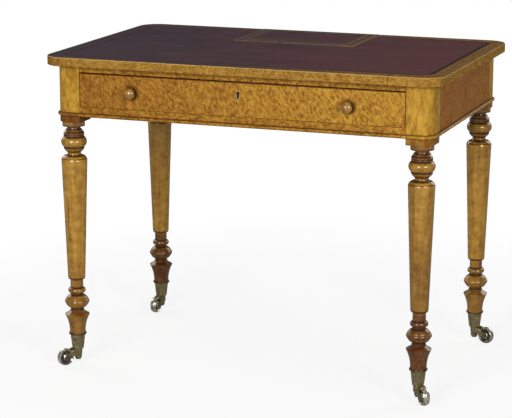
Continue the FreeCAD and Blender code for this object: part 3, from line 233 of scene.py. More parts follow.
class Shader(Tree):
    """A material with one principled surface."""

    def __init__(self, name):
        self.material = bpy.data.materials.new(name)
        self.material.use_nodes = True
        super().__init__(self.material.node_tree)
        self.surface = self.tree.nodes["Principled BSDF"]
        self.place = self.coordinate("Object")

    def set(self, **values):
        """Feeds the surface's sockets, named with _ for each space."""
        for name, value in values.items():
            self.feed(self.surface.inputs[name.replace("_", " ")], value)
        return self

    def moved(self, scale=(1, 1, 1), turn=(0, 0, 0), shift=(0, 0, 0)):
        """The place on the piece, turned (in degrees), shifted and then scaled."""
        turned = self.add("ShaderNodeMapping")
        self.feed(turned.inputs["Vector"], self.place)
        turned.inputs["Rotation"].default_value = [math.radians(angle) for angle in turn]
        turned.inputs["Location"].default_value = shift
        scaled = self.add("ShaderNodeVectorMath", operation="MULTIPLY")
        self.feed(scaled.inputs[0], turned.outputs["Vector"])
        scaled.inputs[1].default_value = scale
        return scaled.outputs["Vector"]

    def noise(self, vector, scale=1.0, detail=3.0, roughness=0.5, distortion=0.0):
        node = self.add("ShaderNodeTexNoise")
        self.feed(node.inputs["Vector"], vector)
        node.inputs["Scale"].default_value = scale
        node.inputs["Detail"].default_value = detail
        node.inputs["Roughness"].default_value = roughness
        node.inputs["Distortion"].default_value = distortion
        return node.outputs["Fac"]

    def cells(self, vector, scale):
        """Distance to the nearest cell's middle, and that cell's random colour."""
        node = self.add("ShaderNodeTexVoronoi")
        self.feed(node.inputs["Vector"], vector)
        node.inputs["Scale"].default_value = scale
        return node.outputs["Distance"], node.outputs["Color"]

    def spots(self, vector, scale, radii, choice):
        """Soft spots in the middle of some of the cells; a choice nearer 1 takes fewer."""
        distance, colour = self.cells(vector, scale)
        chosen = self.between(self.part(colour, "X"), *choice)
        return self.times(self.fading(distance, *radii), chosen)

    def ramp(self, value, *stops):
        """Colours at places along 0 to 1."""
        node = self.add("ShaderNodeValToRGB")
        self.feed(node.inputs["Fac"], value)
        elements = node.color_ramp.elements
        while len(elements) < len(stops):
            elements.new(0.5)
        for element, (position, colour) in zip(elements, stops):
            element.position = position
            element.color = (*colour, 1.0)
        return node.outputs["Color"]

    def mix(self, share, first, second, blend="MIX"):
        node = self.add("ShaderNodeMix", data_type="RGBA", blend_type=blend)
        self.feed(node.inputs["Factor"], share)
        for index, colour in ((FIRST_COLOUR, first), (SECOND_COLOUR, second)):
            linked = isinstance(colour, bpy.types.NodeSocket)
            self.feed(node.inputs[index], colour if linked else (*colour, 1.0))
        return node.outputs[MIXED_COLOUR]

    def tinted(self, colour, tint):
        return self.mix(1.0, colour, tint, "MULTIPLY")

    def covered(self, colour, mask, cover, strength):
        """The colour with another laid over it at a strength, where the mask is 1."""
        return self.mix(self.times(mask, strength), colour, cover)

    def axis(self, name):
        """The place along one axis."""
        return self.part(self.place, name)

    def aside(self, name):
        """The distance along one axis from the middle of the table."""
        return self.math("ABSOLUTE", self.axis(name))

    def facing(self, name):
        """How far the surface faces along one axis of the piece."""
        return self.part(self.coordinate("Normal"), name)

    def near(self, axis, place, width):
        """1 within half a width of a place along an axis, 0 from 0.8 of a width."""
        away = self.math("ABSOLUTE", self.math("SUBTRACT", self.axis(axis), place))
        return self.fading(away, width * 0.5, width * 0.8)

    def crease(self, reach):
        """1 on open faces, towards 0 in grooves narrower than the reach."""
        node = self.add("ShaderNodeAmbientOcclusion", samples=8, only_local=True)
        node.inputs["Distance"].default_value = reach
        return node.outputs["AO"]

    def bump(self, height, depth, strength):
        node = self.add("ShaderNodeBump")
        self.feed(node.inputs["Height"], height)
        node.inputs["Distance"].default_value = depth
        node.inputs["Strength"].default_value = strength
        self.feed(self.surface.inputs["Normal"], node.outputs["Normal"])
        return self


# Wood

# Changes in a metre along the fibres, and across them.
ALONG = 9.0
ACROSS = 420.0
GRAIN = {"X": (ALONG, ACROSS, ACROSS), "Y": (ACROSS, ALONG, ACROSS), "Z": (ACROSS, ACROSS, ALONG)}
# How much the mottle, the broad figure and the fibre each add to the wood's tone.
MOTTLE_PART = 2.10
BROAD_PART = 0.60
FIBRE_PART = 0.14
TONE_SHIFT = -0.92
MOTTLE_WANDER = 2.2
BROAD_SCALE = 0.24
# The eyes and knots: cells in a metre, a spot's radii in cells, and the choice of cells.
EYE_CELLS = 95.0
EYE_RADII = (0.05, 0.16)
EYE_CHOICE = (0.45, 0.55)
EYE_SHADE = 0.6
KNOT_CELLS = 24.0
KNOT_RADII = (0.04, 0.10)
KNOT_CHOICE = (0.58, 0.62)
# How deep the fibres show under thick polish.
FINE_FIBRE = 0.00001


def maple_figure(shader, grain, scale, lean, offset):
    """The tone of figured maple, about 0.5, the mask of its eyes, and its fibre."""
    turn = (0, lean, 0)
    wander = shader.noise(shader.moved(shift=offset), scale=14.0, detail=2.0)
    bent = shader.add("ShaderNodeVectorMath", operation="ADD")
    shader.feed(bent.inputs[0], shader.moved(scale, turn, offset))
    shader.feed(bent.inputs[1], shader.times(wander, MOTTLE_WANDER))
    mottle = shader.noise(bent.outputs["Vector"], roughness=0.6, distortion=0.35)
    broad_place = shader.moved([part * BROAD_SCALE for part in scale], turn, offset)
    broad = shader.noise(broad_place, detail=2.0, distortion=0.5)
    fibre = shader.noise(shader.moved(GRAIN[grain], shift=offset))
    tone = shader.math("MULTIPLY_ADD", mottle, MOTTLE_PART, TONE_SHIFT)
    tone = shader.math("MULTIPLY_ADD", broad, BROAD_PART, tone)
    tone = shader.math("MULTIPLY_ADD", fibre, FIBRE_PART, tone)
    eye = shader.spots(shader.moved(shift=offset), EYE_CELLS, EYE_RADII, EYE_CHOICE)
    return tone, eye, fibre


def maple(name, light, middle, dark, grain="X", scale=(190.0, 190.0, 105.0), lean=26.0, offset=(0, 0, 0),
          eyes=0.55):
    """Figured maple in three tones, with the strength of its eyes."""
    shader = Shader(name)
    tone, eye, fibre = maple_figure(shader, grain, scale, lean, offset)
    colour = shader.ramp(tone, (0.20, dark), (0.50, middle), (0.82, light))
    colour = shader.covered(colour, eye, [part * EYE_SHADE for part in dark], strength=eyes)
    return shader, colour, fibre


def polished(shader, colour, fibre, roughness=0.36, shine=0.10, crease=0.006, depth=0.00008):
    """Old polish over wood: dirt and painted shade in the creases, a little sheen, fibres that just show."""
    # The crease colour is laid where ambient occlusion finds hollows, so it is painted shade as well as dirt.
    open_face = shader.between(shader.crease(crease), 0.35, 1.0)
    worn = shader.noise(shader.place, scale=38.0)
    shader.set(Base_Color=shader.mix(open_face, CREASE_DIRT_AND_SHADE, colour), Specular_IOR_Level=shine,
               Roughness=shader.between(worn, 0.25, 0.8, start=roughness - 0.06, end=roughness + 0.10))
    return shader.bump(fibre, depth, strength=0.5).material


def bead_line(shader, colour):
    """Dirt and painted shade along the top of the bead at the foot of the frieze, and under it."""
    above = shader.near("Z", BEAD_TOP + BEAD_LINE_RISE, BEAD_LINE_WIDTH)
    below = shader.near("Z", FRIEZE_BOTTOM, BEAD_LINE_WIDTH)
    return shader.covered(colour, shader.most(above, below), BEAD_DIRT_AND_SHADE, strength=0.60)


def round_knobs(shader):
    """Where the drawer is darker round its knobs: dirt from hands and painted shade."""
    across = shader.math("SUBTRACT", shader.aside("X"), KNOB_MIDDLE.x)
    up = shader.math("SUBTRACT", shader.axis("Z"), KNOB_MIDDLE.z)
    squares = shader.math("ADD", shader.math("POWER", across, 2.0), shader.math("POWER", up, 2.0))
    away = shader.math("SQRT", squares)
    return shader.fading(away, *(KNOB_RADIUS * share for share in KNOB_DARK_ROUND), start=0.75)


def drawer_maple():
    """The drawer's front: deeper in tone to the left, dark along its edges and round its knobs."""
    shader, colour, fibre = maple("maple_drawer_front", light=(0.52, 0.275, 0.034),
                                  middle=(0.390, 0.180, 0.018), dark=(0.235, 0.084, 0.011))
    deeper = shader.tinted(colour, (0.80, 0.72, 0.84))
    paler = shader.tinted(colour, (1.04, 1.10, 1.10))
    colour = shader.mix(shader.between(shader.axis("X"), *DRAWER_PALES), deeper, paler)
    # Painted shade, with some dirt, in the gaps along the drawer's sides and top, and round its knobs.
    sides = shader.between(shader.aside("X"), *(DRAWER_EDGE - inset for inset in DRAWER_SIDE_LINE))
    top = shader.between(shader.axis("Z"), *(DRAWER_TOP - inset for inset in DRAWER_TOP_LINE))
    edges = shader.times(shader.most(sides, top), 0.75)
    soiled = shader.most(edges, round_knobs(shader))
    return polished(shader, shader.mix(soiled, colour, DRAWER_DIRT_AND_SHADE), fibre)


def rail_maple():
    """The rails; a lighter strip of new veneer ends the lower one."""
    shader, colour, fibre = maple("maple_rails", light=(0.46, 0.230, 0.030), middle=(0.33, 0.147, 0.015),
                                  dark=(0.19, 0.072, 0.008), scale=(120.0, 150.0, 150.0), lean=8.0,
                                  offset=(3.1, 0.4, 1.7))
    end = shader.between(shader.axis("X"), NEW_VENEER_START - SOFT_EDGE, NEW_VENEER_START + SOFT_EDGE)
    lower = shader.fading(shader.axis("Z"), NEW_VENEER_TOP - SOFT_EDGE, NEW_VENEER_TOP + SOFT_EDGE)
    pale = shader.tinted(colour, (1.25, 1.30, 1.4))
    colour = shader.mix(shader.times(end, lower), colour, pale)
    return polished(shader, bead_line(shader, colour), fibre)


def side_maple():
    """The aprons at the sides and the back: redder and duller than the front."""
    shader, colour, fibre = maple("maple_sides", light=(0.41, 0.176, 0.035), middle=(0.34, 0.136, 0.025),
                                  dark=(0.270, 0.102, 0.018), grain="Y", scale=(150.0, 110.0, 120.0),
                                  offset=(5.3, 2.2, 0.6), eyes=0.7)
    return polished(shader, bead_line(shader, colour), fibre, roughness=0.50, shine=0.03)


def border_maple():
    """The border: straw-coloured along its upright edge; painted shade and a bluish painted reflection on its
    top, most to the left, and a painted highlight with some wear on its rounded edge.
    """
    shader, colour, fibre = maple("maple_border", light=(0.47, 0.262, 0.050), middle=(0.335, 0.172, 0.030),
                                  dark=(0.205, 0.090, 0.016), scale=(170.0, 190.0, 330.0), lean=0.0,
                                  offset=(1.9, 4.4, 2.3))
    front = shader.fading(shader.axis("Y"), *FRONT_EDGE)
    joint = shader.times(shader.near("X", BORDER_JOINT, BORDER_JOINT_WIDTH), front)
    colour = shader.covered(colour, joint, JOINT_DIRT, strength=0.8)
    left_end = shader.fading(shader.axis("X"), *BORDER_LEFT_END)
    colour = shader.mix(left_end, colour, shader.tinted(colour, (0.72, 0.56, 0.60)))
    # Painted shade with a bluish painted reflection on the border's top, deepest to the left.
    shaded_top = shader.mix(0.94, colour, BORDER_TOP_SHADE)
    shaded_top_right = shader.tinted(colour, (0.72, 0.75, 1.35))
    top_shade = shader.mix(shader.between(shader.axis("X"), *BORDER_TOP_SHADE_FADES), shaded_top, shaded_top_right)
    upward = shader.facing("Z")
    colour = shader.mix(shader.between(upward, *BORDER_FLAT_TOP), colour, top_shade)
    # A painted highlight, with some wear, on the border's rounded edge.
    rounded_highlight = shader.times(shader.between(upward, *BORDER_EDGE_BEGINS),
                           shader.fading(upward, *BORDER_EDGE_ENDS, start=0.6))
    return polished(shader, shader.mix(rounded_highlight, colour, BORDER_WORN_HIGHLIGHT), fibre, roughness=0.55, shine=0.015)


def lid_maple():
    """The lid's frame: a dark band between two paler lines, brighter to the right."""
    shader, colour, fibre = maple("maple_lid", light=(0.250, 0.165, 0.086), middle=(0.205, 0.134, 0.070),
                                  dark=(0.150, 0.095, 0.052), scale=(70.0, 70.0, 120.0), lean=0.0,
                                  offset=(7.7, 1.4, 0.3), eyes=0.2)
    right = shader.between(shader.axis("X"), LID_LEATHER.x - LID_SIDE_CHANGE, LID_LEATHER.x + LID_SIDE_CHANGE)
    duller = shader.tinted(colour, (0.72, 0.80, 1.05))
    brighter = shader.tinted(colour, (1.10, 1.06, 0.98))
    colour = shader.mix(right, duller, brighter)
    ends = shader.math("SUBTRACT", LID_HIGH.x, shader.aside("X"))
    front = shader.math("SUBTRACT", shader.axis("Y"), LID_LOW.y)
    back = shader.math("SUBTRACT", LID_HIGH.y, shader.axis("Y"))
    inside = shader.math("MINIMUM", ends, shader.math("MINIMUM", front, back))
    width = LID_HIGH.x - LID_LEATHER.x
    outer_side = shader.between(inside, *(width * share for share in LID_BAND_OUTSIDE))
    inner_side = shader.fading(inside, *(width * share for share in LID_BAND_INSIDE), start=0.85)
    colour = shader.mix(shader.times(outer_side, inner_side), colour, LID_BAND)
    return polished(shader, colour, fibre, roughness=0.60, shine=0.025)


def post_maple():
    """The legs' square posts and blocks: bright veneer with a soft figure, darker below, most to the left."""
    shader, colour, fibre = maple("maple_posts", light=(0.56, 0.322, 0.046), middle=(0.455, 0.242, 0.030),
                                  dark=(0.335, 0.162, 0.019), grain="Z", scale=(110.0, 110.0, 46.0), lean=0.0,
                                  offset=(0.7, 3.3, 5.1), eyes=0.5)
    height = shader.axis("Z")
    left = shader.fading(shader.axis("X"), *LEFT_TO_RIGHT)
    block = shader.fading(height, FRIEZE_BOTTOM - BLOCK_SHADE_HEIGHT, FRIEZE_BOTTOM)
    bead = shader.fading(height, BEAD_TOP - SOFT_EDGE, BEAD_TOP + SOFT_EDGE, start=0.75)
    shaded = shader.most(block, shader.times(bead, left))
    shade = shader.mix(left, (0.62, 0.52, 0.60), (0.40, 0.29, 0.48))
    colour = shader.mix(shaded, colour, shader.tinted(colour, shade))
    return polished(shader, bead_line(shader, colour), fibre, roughness=0.42, shine=0.05, crease=0.008)


def leg_crack(shader):
    """A crack down the front of the front left leg."""
    waves = shader.noise(shader.place, scale=160.0, detail=2.0)
    course = shader.math("MULTIPLY_ADD", waves, CRACK_WANDER, CRACK_X - CRACK_WANDER / 2)
    away = shader.math("ABSOLUTE", shader.math("SUBTRACT", shader.axis("X"), course))
    line = shader.fading(away, *CRACK_HALF_WIDTH)
    length = shader.near("Z", CRACK_MIDDLE, CRACK_LENGTH)
    front = shader.fading(shader.axis("Y"), *CRACK_FRONT)
    return shader.times(shader.times(line, length), front)


def leg_stain(shader):
    """How far the wood is stained: the head a little, its rings and the feet more, two feet most of all."""
    height = shader.axis("Z")
    rings = shader.times(shader.near("Z", HEAD_RINGS, HEAD_RINGS_HEIGHT), 0.76)
    head = shader.between(height, *HEAD_BOTTOM, end=0.22)
    foot = shader.most(shader.fading(height, *FOOT_TOP, start=0.90), shader.fading(height, *BELL_TOP))
    # The front right and back left feet are the dark ones.
    dark_leg = shader.fading(shader.times(shader.axis("X"), shader.axis("Y")), -0.02, 0.02)
    foot = shader.times(foot, shader.math("MULTIPLY_ADD", dark_leg, 0.52, 0.48))
    shoulder = shader.times(shader.near("Z", FOOT_SHOULDER, FOOT_SHOULDER_HEIGHT), 0.70)
    # Only the front right shaft is stained.
    front_right = shader.between(shader.math("SUBTRACT", shader.axis("X"), shader.axis("Y")), 0.4, 0.5)
    shaft = shader.times(shader.between(height, *SHAFT_STAIN, start=0.62, end=0.20), front_right)
    return shader.most(rings, head, foot, shoulder, shaft)


def turned_maple():
    """Turned wood: streaks along the leg, knots and a crack, stained dark red-brown towards the foot."""
    shader = Shader("maple_turning")
    fibre = shader.noise(shader.moved(GRAIN["Z"]))
    streak = shader.noise(shader.moved(scale=(95.0, 95.0, 11.0)), roughness=0.55, distortion=0.4)
    cloud = shader.noise(shader.moved(scale=(1.0, 1.0, 1.6)), scale=46.0, detail=4.0, roughness=0.65)
    tone = shader.math("MULTIPLY_ADD", streak, 0.50, shader.times(cloud, 0.55))
    colour = shader.ramp(tone, (0.34, (0.200, 0.080, 0.008)), (0.53, (0.420, 0.208, 0.024)),
                         (0.74, (0.620, 0.360, 0.058)))
    knots = shader.spots(shader.moved(scale=(1.0, 1.0, 0.75)), KNOT_CELLS, KNOT_RADII, KNOT_CHOICE)
    colour = shader.covered(colour, knots, KNOT_BROWN, strength=0.8)
    colour = shader.mix(leg_crack(shader), colour, CRACK_BROWN)
    stain = shader.times(leg_stain(shader), shader.between(tone, 0.42, 0.64, start=1.0, end=0.84))
    colour = shader.mix(stain, colour, FOOT_STAIN)
    # Dirt and painted shade in the turning's grooves.
    grooves = [shader.near("Z", height, width) for height, width in HEAD_GROOVES + FOOT_GROOVES]
    colour = shader.covered(colour, shader.most(*grooves), GROOVE_DIRT_AND_SHADE, strength=0.86)
    shader.set(Specular_Tint=WARM_POLISH)
    return polished(shader, colour, fibre, roughness=0.24, shine=1.0, crease=0.009, depth=FINE_FIBRE)


def knob_maple():
    """The knobs: bright crowns, with dirt and painted shade behind them."""
    shader, colour, fibre = maple("maple_knobs", light=(0.45, 0.250, 0.042), middle=(0.36, 0.180, 0.026),
                                  dark=(0.230, 0.098, 0.013), grain="Y", scale=(90.0, 30.0, 90.0), lean=0.0,
                                  offset=(2.5, 6.1, 3.8), eyes=0.2)
    depths = [KNOB_LOW.y + KNOB_LENGTH * share for share in KNOB_DARK_BEHIND]
    # Painted shade, with some dirt, behind each knob's crown.
    behind = shader.between(shader.axis("Y"), *depths)
    colour = shader.covered(colour, behind, KNOB_DIRT_AND_SHADE, strength=0.92)
    return polished(shader, colour, fibre, roughness=0.25, shine=1.0, depth=FINE_FIBRE)


def lining_wood():
    """Plain unpolished wood of the carcass and the drawer's lining."""
    shader = Shader("lining_wood")
    grain = shader.noise(shader.moved(scale=(6.0, 70.0, 70.0)), detail=4.0, roughness=0.55, distortion=0.5)
    fibre = shader.noise(shader.moved(scale=(14.0, 700.0, 700.0)), detail=2.0)
    tone = shader.math("MULTIPLY_ADD", fibre, 0.25, shader.times(grain, 0.8))
    colour = shader.ramp(tone, (0.30, (0.170, 0.085, 0.036)), (0.52, (0.270, 0.150, 0.066)),
                         (0.74, (0.360, 0.215, 0.105)))
    soiled = shader.noise(shader.place, scale=9.0, detail=4.0, roughness=0.6)
    colour = shader.mix(shader.between(soiled, 0.45, 0.75, end=0.45), colour, LINING_DIRT)
    shader.set(Base_Color=colour, Roughness=shader.between(fibre, 0.2, 0.8, start=0.55, end=0.75))
    return shader.bump(fibre, depth=0.00015, strength=0.6).material


# Leather and metal

METALLIC = 0.9
CREASE_SHADE = 0.5


def leather_rim_shade(shader):
    """The painted shadow line along the leather's edge where it meets the border, strongest to the right."""
    ends = shader.between(shader.aside("X"), *(LEATHER_EDGE.x - inset for inset in LEATHER_RIM_LINE))
    sides = shader.between(shader.aside("Y"), *(LEATHER_EDGE.y - inset for inset in LEATHER_RIM_LINE))
    strength = shader.between(shader.axis("X"), *LEATHER_RIM_DARKENS, start=0.35, end=0.85)
    return shader.times(shader.most(ends, sides), strength)


def table_leather():
    """Dark worn hide: fine grain, cloudy colour, a painted greyish sheen to the left, rubbed paler patches, a
    few scratches and a painted shadow line along its edge.
    """
    shader = Shader("table_leather")
    grain, _ = shader.cells(shader.place, 780.0)
    cloud = shader.noise(shader.moved(scale=(1.0, 1.8, 1.0)), scale=7.0, detail=5.0, roughness=0.6)
    colour = shader.ramp(cloud, (0.30, (0.066, 0.043, 0.054)), (0.52, (0.098, 0.056, 0.065)),
                         (0.72, (0.130, 0.068, 0.073)))
    warm = shader.between(shader.axis("X"), *LEATHER_WARMS)
    colour = shader.covered(colour, warm, LEATHER_WARM, strength=0.60)
    # Painted sheen: greyer and bluer towards the left end.
    sheen = shader.fading(shader.axis("X"), *LEATHER_SHEEN_END, start=0.60)
    colour = shader.mix(sheen, colour, LEATHER_SHEEN)
    rubbing = shader.noise(shader.moved(scale=(2.0, 5.0, 1.0)), scale=6.0, detail=5.0, roughness=0.65)
    colour = shader.mix(shader.between(rubbing, 0.56, 0.78, end=0.35), colour, LEATHER_RUBBED)
    scratch = shader.noise(shader.moved(scale=(4.0, 260.0, 1.0), turn=(0, 0, 11)), detail=2.0)
    colour = shader.mix(shader.between(scratch, 0.74, 0.80, end=0.5), colour, LEATHER_SCRATCH)
    # Painted shadow along the leather's edge.
    colour = shader.mix(leather_rim_shade(shader), colour, LEATHER_RIM_SHADE)
    shader.set(Base_Color=colour, Specular_IOR_Level=0.03,
               Roughness=shader.between(cloud, 0.3, 0.7, start=0.62, end=0.76))
    return shader.bump(grain, depth=0.00012, strength=0.55).material


def old_metal(name, bright, dull, patina, roughness, bright_share=0.45):
    """Cast and turned metal: rubbed bright where it is handled, dark in the creases and in clouds."""
    shader = Shader(name)
    cloud = shader.noise(shader.place, scale=85.0, detail=4.0, roughness=0.6)
    speck = shader.noise(shader.place, scale=520.0)
    colour = shader.mix(shader.between(cloud, bright_share - 0.12, bright_share + 0.16), bright, dull)
    stain = shader.noise(shader.moved(shift=(4, 2, 7)), scale=140.0, detail=4.0, roughness=0.65)
    colour = shader.mix(shader.between(stain, 0.50, 0.72, end=0.75), colour, patina)
    open_face = shader.between(shader.crease(0.004), 0.3, 0.85)
    colour = shader.mix(open_face, [part * CREASE_SHADE for part in patina], colour)
    shader.set(Base_Color=colour, Metallic=METALLIC,
               Roughness=shader.between(cloud, 0.3, 0.7, start=roughness - 0.10, end=roughness + 0.12))
    return shader.bump(speck, depth=0.00006, strength=0.5).material


MATERIALS = {
    "drawer": drawer_maple(),
    "rail": rail_maple(),
    "side": side_maple(),
    "border": border_maple(),
    "lid": lid_maple(),
    "post": post_maple(),
    "turning": turned_maple(),
    "knob": knob_maple(),
    "lining": lining_wood(),
    "leather": table_leather(),
    "brass": old_metal("aged_brass", bright=(0.50, 0.400, 0.205), dull=(0.290, 0.230, 0.120),
                       patina=(0.105, 0.086, 0.054), roughness=0.38),
    "horn": old_metal("dark_brass", bright=(0.46, 0.375, 0.205), dull=(0.255, 0.205, 0.112),
                      patina=(0.075, 0.062, 0.040), roughness=0.42),
    "wheel": old_metal("wheel_brass", bright=(0.165, 0.150, 0.118), dull=(0.078, 0.070, 0.056),
                       patina=(0.026, 0.023, 0.019), roughness=0.36),
    "rim": old_metal("stained_brass", bright=(0.16, 0.105, 0.055), dull=(0.085, 0.052, 0.028),
                     patina=(0.035, 0.020, 0.012), roughness=0.44),
    "tread": old_metal("worn_brass", bright=(0.82, 0.770, 0.640), dull=(0.360, 0.315, 0.220),
                       patina=(0.065, 0.053, 0.035), roughness=0.28, bright_share=0.54),
    "steel": old_metal("old_steel", bright=(0.230, 0.220, 0.210), dull=(0.130, 0.122, 0.115),
                       patina=(0.060, 0.045, 0.035), roughness=0.45),
}


# Which look each CAD node has; the rest is lining

NODES_BY_LOOK = {
    "drawer": ["drawer_front"],
    "rail": ["front_top_rail", "front_bottom_rail", "base_bead_strips"],
    "post": ["base_bead_corners", *(f"leg_{corner}" for corner in CORNERS)],
    "side": ["side_apron_left", "side_apron_right", "back_apron"],
    "border": ["top_border", "top_border_corners"],
    "lid": ["lid_panel"],
    "leather": ["writing_leather", "lid_leather"],
    "knob": ["knob_left", "knob_right"],
    "brass": ["escutcheon", "lock_case", "lid_hinge_table_leaves", "lid_hinge_lid_leaves",
              "lid_hinge_table_screws", "lid_hinge_lid_screws",
              *(f"castor_cup_{corner}" for corner in CORNERS)],
    "horn": [f"castor_horn_{corner}" for corner in CORNERS],
    "wheel": [f"castor_wheel_{corner}" for corner in CORNERS],
    "steel": ["lock_bolt", "castor_pintles", "top_screws", "lock_screws", "lid_hinge_pins",
              "castor_cup_screws", *(f"castor_axle_{corner}" for corner in CORNERS)],
}
LOOKS = {node: look for look, nodes in NODES_BY_LOOK.items() for node in nodes}

RECORD = frame["record"]
BODY_OF = {node: body for body, nodes in RECORD["behaviour"]["bodies"].items() for node in nodes}
JOINT_AXES = {joint["name"]: Vector(joint["axis"]) for joint in RECORD["behaviour"]["joints"]}

# A face looks along an axis when its normal's part along that axis is more than this.
FACES_ALONG = 0.5
# A wheel's tread is where its faces look along the axle less than this.
TREAD_FACES_ALONG = 0.75
# Keeps the underside of a leg's block out of the turning.
HAIR_BREADTH = 0.00005


def dress(mesh, look):
    mesh.materials.clear()
    mesh.materials.append(MATERIALS[look])


def dress_where(mesh, look, chosen):
    """Gives the chosen faces a look of their own."""
    mesh.materials.append(MATERIALS[look])
    for face in mesh.polygons:
        if chosen(face):
            face.material_index = len(mesh.materials) - 1


for name, node in NODES.items():
    dress(node.data, LOOKS.get(name, "lining"))
dress_where(NODES["lid_panel"].data, "lining", lambda face: face.normal.z < -FACES_ALONG)
for corner in CORNERS:
    leg, wheel, cup = (NODES[f"{kind}_{corner}"].data for kind in ("leg", "castor_wheel", "castor_cup"))
    axle = JOINT_AXES[f"roll_{corner}"]
    dress_where(leg, "turning", lambda face: face.center.z < BLOCK_BOTTOM - HAIR_BREADTH)
    dress_where(wheel, "tread", lambda face: abs(face.normal.dot(axle)) < TREAD_FACES_ALONG)
    dress_where(cup, "rim", lambda face: face.center.z > CUP_RIM)


# Eased edges and slotted screws, on copies that stand for the CAD nodes

WELD = 0.000001
FLAT = math.radians(1)
CORNER = math.radians(35)
HARD = math.radians(55)
# How far the edges are rounded by planing, polish and handling.
EASED = {
    "drawer_front": 0.0007,
    "front_top_rail": 0.0004,
    "front_bottom_rail": 0.0004,
    "side_apron_left": 0.0004,
    "side_apron_right": 0.0004,
    "back_apron": 0.0004,
    "drawer_side_left": 0.0010,
    "drawer_side_right": 0.0010,
    "drawer_back": 0.0010,
    "drawer_bottom": 0.0005,
    "drawer_runner_left": 0.0010,
    "drawer_runner_right": 0.0010,
    "drawer_kickers": 0.0010,
    "drawer_stops": 0.0008,
    "glue_blocks": 0.0010,
    "well_bottom": 0.0004,
    "pen_tray": 0.0008,
    "lock_bolt": 0.0005,
}
# An edge is eased when it is longer than this many widths of the rounding.
SHORTEST_EASED = 5
EASED_SEGMENTS = 3
SLOTTED = ("castor_cup_screws", "lid_hinge_table_screws", "lid_hinge_lid_screws", "lock_screws", "top_screws")
SLOT_WIDTH = 0.0007
SLOT_DEPTH = 0.0006
# How far a slot's ends draw in for each unit of depth, so that they stay inside the countersink.
SLOT_DRAW_IN = 1.2


def welded(name):
    """A node's shape as one mesh whose faces share their corners."""
    shape = bmesh.new()
    shape.from_mesh(NODES[name].data)
    bmesh.ops.remove_doubles(shape, verts=shape.verts, dist=WELD)
    return shape


def is_corner(edge, angle):
    return edge.is_manifold and edge.calc_face_angle() > angle


def ease(name, width):
    """Rounds the long sharp edges of a node's shape."""
    shape = welded(name)
    bmesh.ops.dissolve_limit(shape, angle_limit=FLAT, verts=shape.verts, edges=shape.edges)
    shortest = width * SHORTEST_EASED
    edges = [edge for edge in shape.edges if is_corner(edge, CORNER) and edge.calc_length() > shortest]
    bmesh.ops.bevel(shape, geom=edges, offset=width, offset_type="OFFSET", segments=EASED_SEGMENTS,
                    profile=0.5, affect="EDGES", clamp_overlap=True)
    return shape


def islands(shape):
    """The corners of each separate solid."""
    seen = set()
    for start in shape.verts:
        if start in seen:
            continue
        seen.add(start)
        island = [start]
        for vert in island:
            neighbours = (edge.other_vert(vert) for edge in vert.link_edges)
            joined = [other for other in neighbours if other not in seen]
            seen.update(joined)
            island.extend(joined)
        yield island


def head_end(island, along, middle):
    """The radius of a screw's head, where along its axis the head ends, and which way it faces."""
    found = []
    for facing, end in ((-1, min(v.co[along] for v in island)), (1, max(v.co[along] for v in island))):
        flat = [v.co - middle for v in island if abs(v.co[along] - end) < WELD]
        radius = max(math.hypot(*(part for axis, part in enumerate(off) if axis != along)) for off in flat)
        found.append((radius, end, facing))
    return max(found)


def cut_slot(shape, island):
    """Sinks a slot across a screw's head; its ends follow the countersink."""
    low, high = (Vector(end(v.co[axis] for v in island) for axis in range(3)) for end in (min, max))
    middle = (low + high) / 2
    along = max(range(3), key=lambda axis: high[axis] - low[axis])
    across, lengthwise = (along + 1) % 3, (along + 2) % 3
    radius, end, facing = head_end(island, along, middle)
    step = Vector((0, 0, 0))
    step[across] = SLOT_WIDTH / 2
    edges = dict.fromkeys(edge for vert in island for edge in vert.link_edges)
    faces = dict.fromkeys(face for vert in island for face in vert.link_faces)
    geometry = [*island, *edges, *faces]
    for side in (-step, step):
        geometry = bmesh.ops.bisect_plane(shape, geom=geometry, dist=WELD, plane_co=middle + side,
                                          plane_no=side.normalized())["geom"]

    def on_slot(vert):
        within = abs(vert.co[across] - middle[across]) < SLOT_WIDTH / 2 + WELD
        return within and abs(vert.co[along] - end) < WELD

    cut_faces = [face for face in geometry if isinstance(face, bmesh.types.BMFace)]
    top = [face for face in cut_faces if all(on_slot(vert) for vert in face.verts)]
    sunk = bmesh.ops.extrude_face_region(shape, geom=top)["geom"]
    bmesh.ops.delete(shape, geom=[face for face in top if face.is_valid], context="FACES")
    for vert in sunk:
        if isinstance(vert, bmesh.types.BMVert):
            vert.co[along] -= facing * SLOT_DEPTH
            inward = middle[lengthwise] - vert.co[lengthwise]
            vert.co[lengthwise] += inward * SLOT_DRAW_IN * SLOT_DEPTH / radius


def slot(name):
    """Slots every screw of a node."""
    shape = welded(name)
    for island in list(islands(shape)):
        cut_slot(shape, island)
    return shape


def stand_for(name, shape):
    """Puts a finished shape in the place of its CAD node."""
    for edge in shape.edges:
        edge.smooth = not is_corner(edge, HARD)
    for face in shape.faces:
        face.smooth = True
    mesh = bpy.data.meshes.new(f"{name}_finished")
    shape.to_mesh(mesh)
    shape.free()
    if "custom_normal" in mesh.attributes:
        mesh.attributes.remove(mesh.attributes["custom_normal"])
    dress(mesh, LOOKS.get(name, "lining"))
    piece = bpy.data.objects.new(f"{name}_finished", mesh)
    bpy.context.scene.collection.objects.link(piece)
    normals = piece.modifiers.new("normals", "WEIGHTED_NORMAL")
    normals.keep_sharp = True
    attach(piece, BODY_OF[name])
    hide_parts(name)
    return mesh


FINISHED = {name: stand_for(name, ease(name, width)) for name, width in EASED.items()}
dress_where(FINISHED["drawer_front"], "lining", lambda face: face.normal.y > FACES_ALONG)
for name in SLOTTED:
    stand_for(name, slot(name))


# Camera, lights and floor

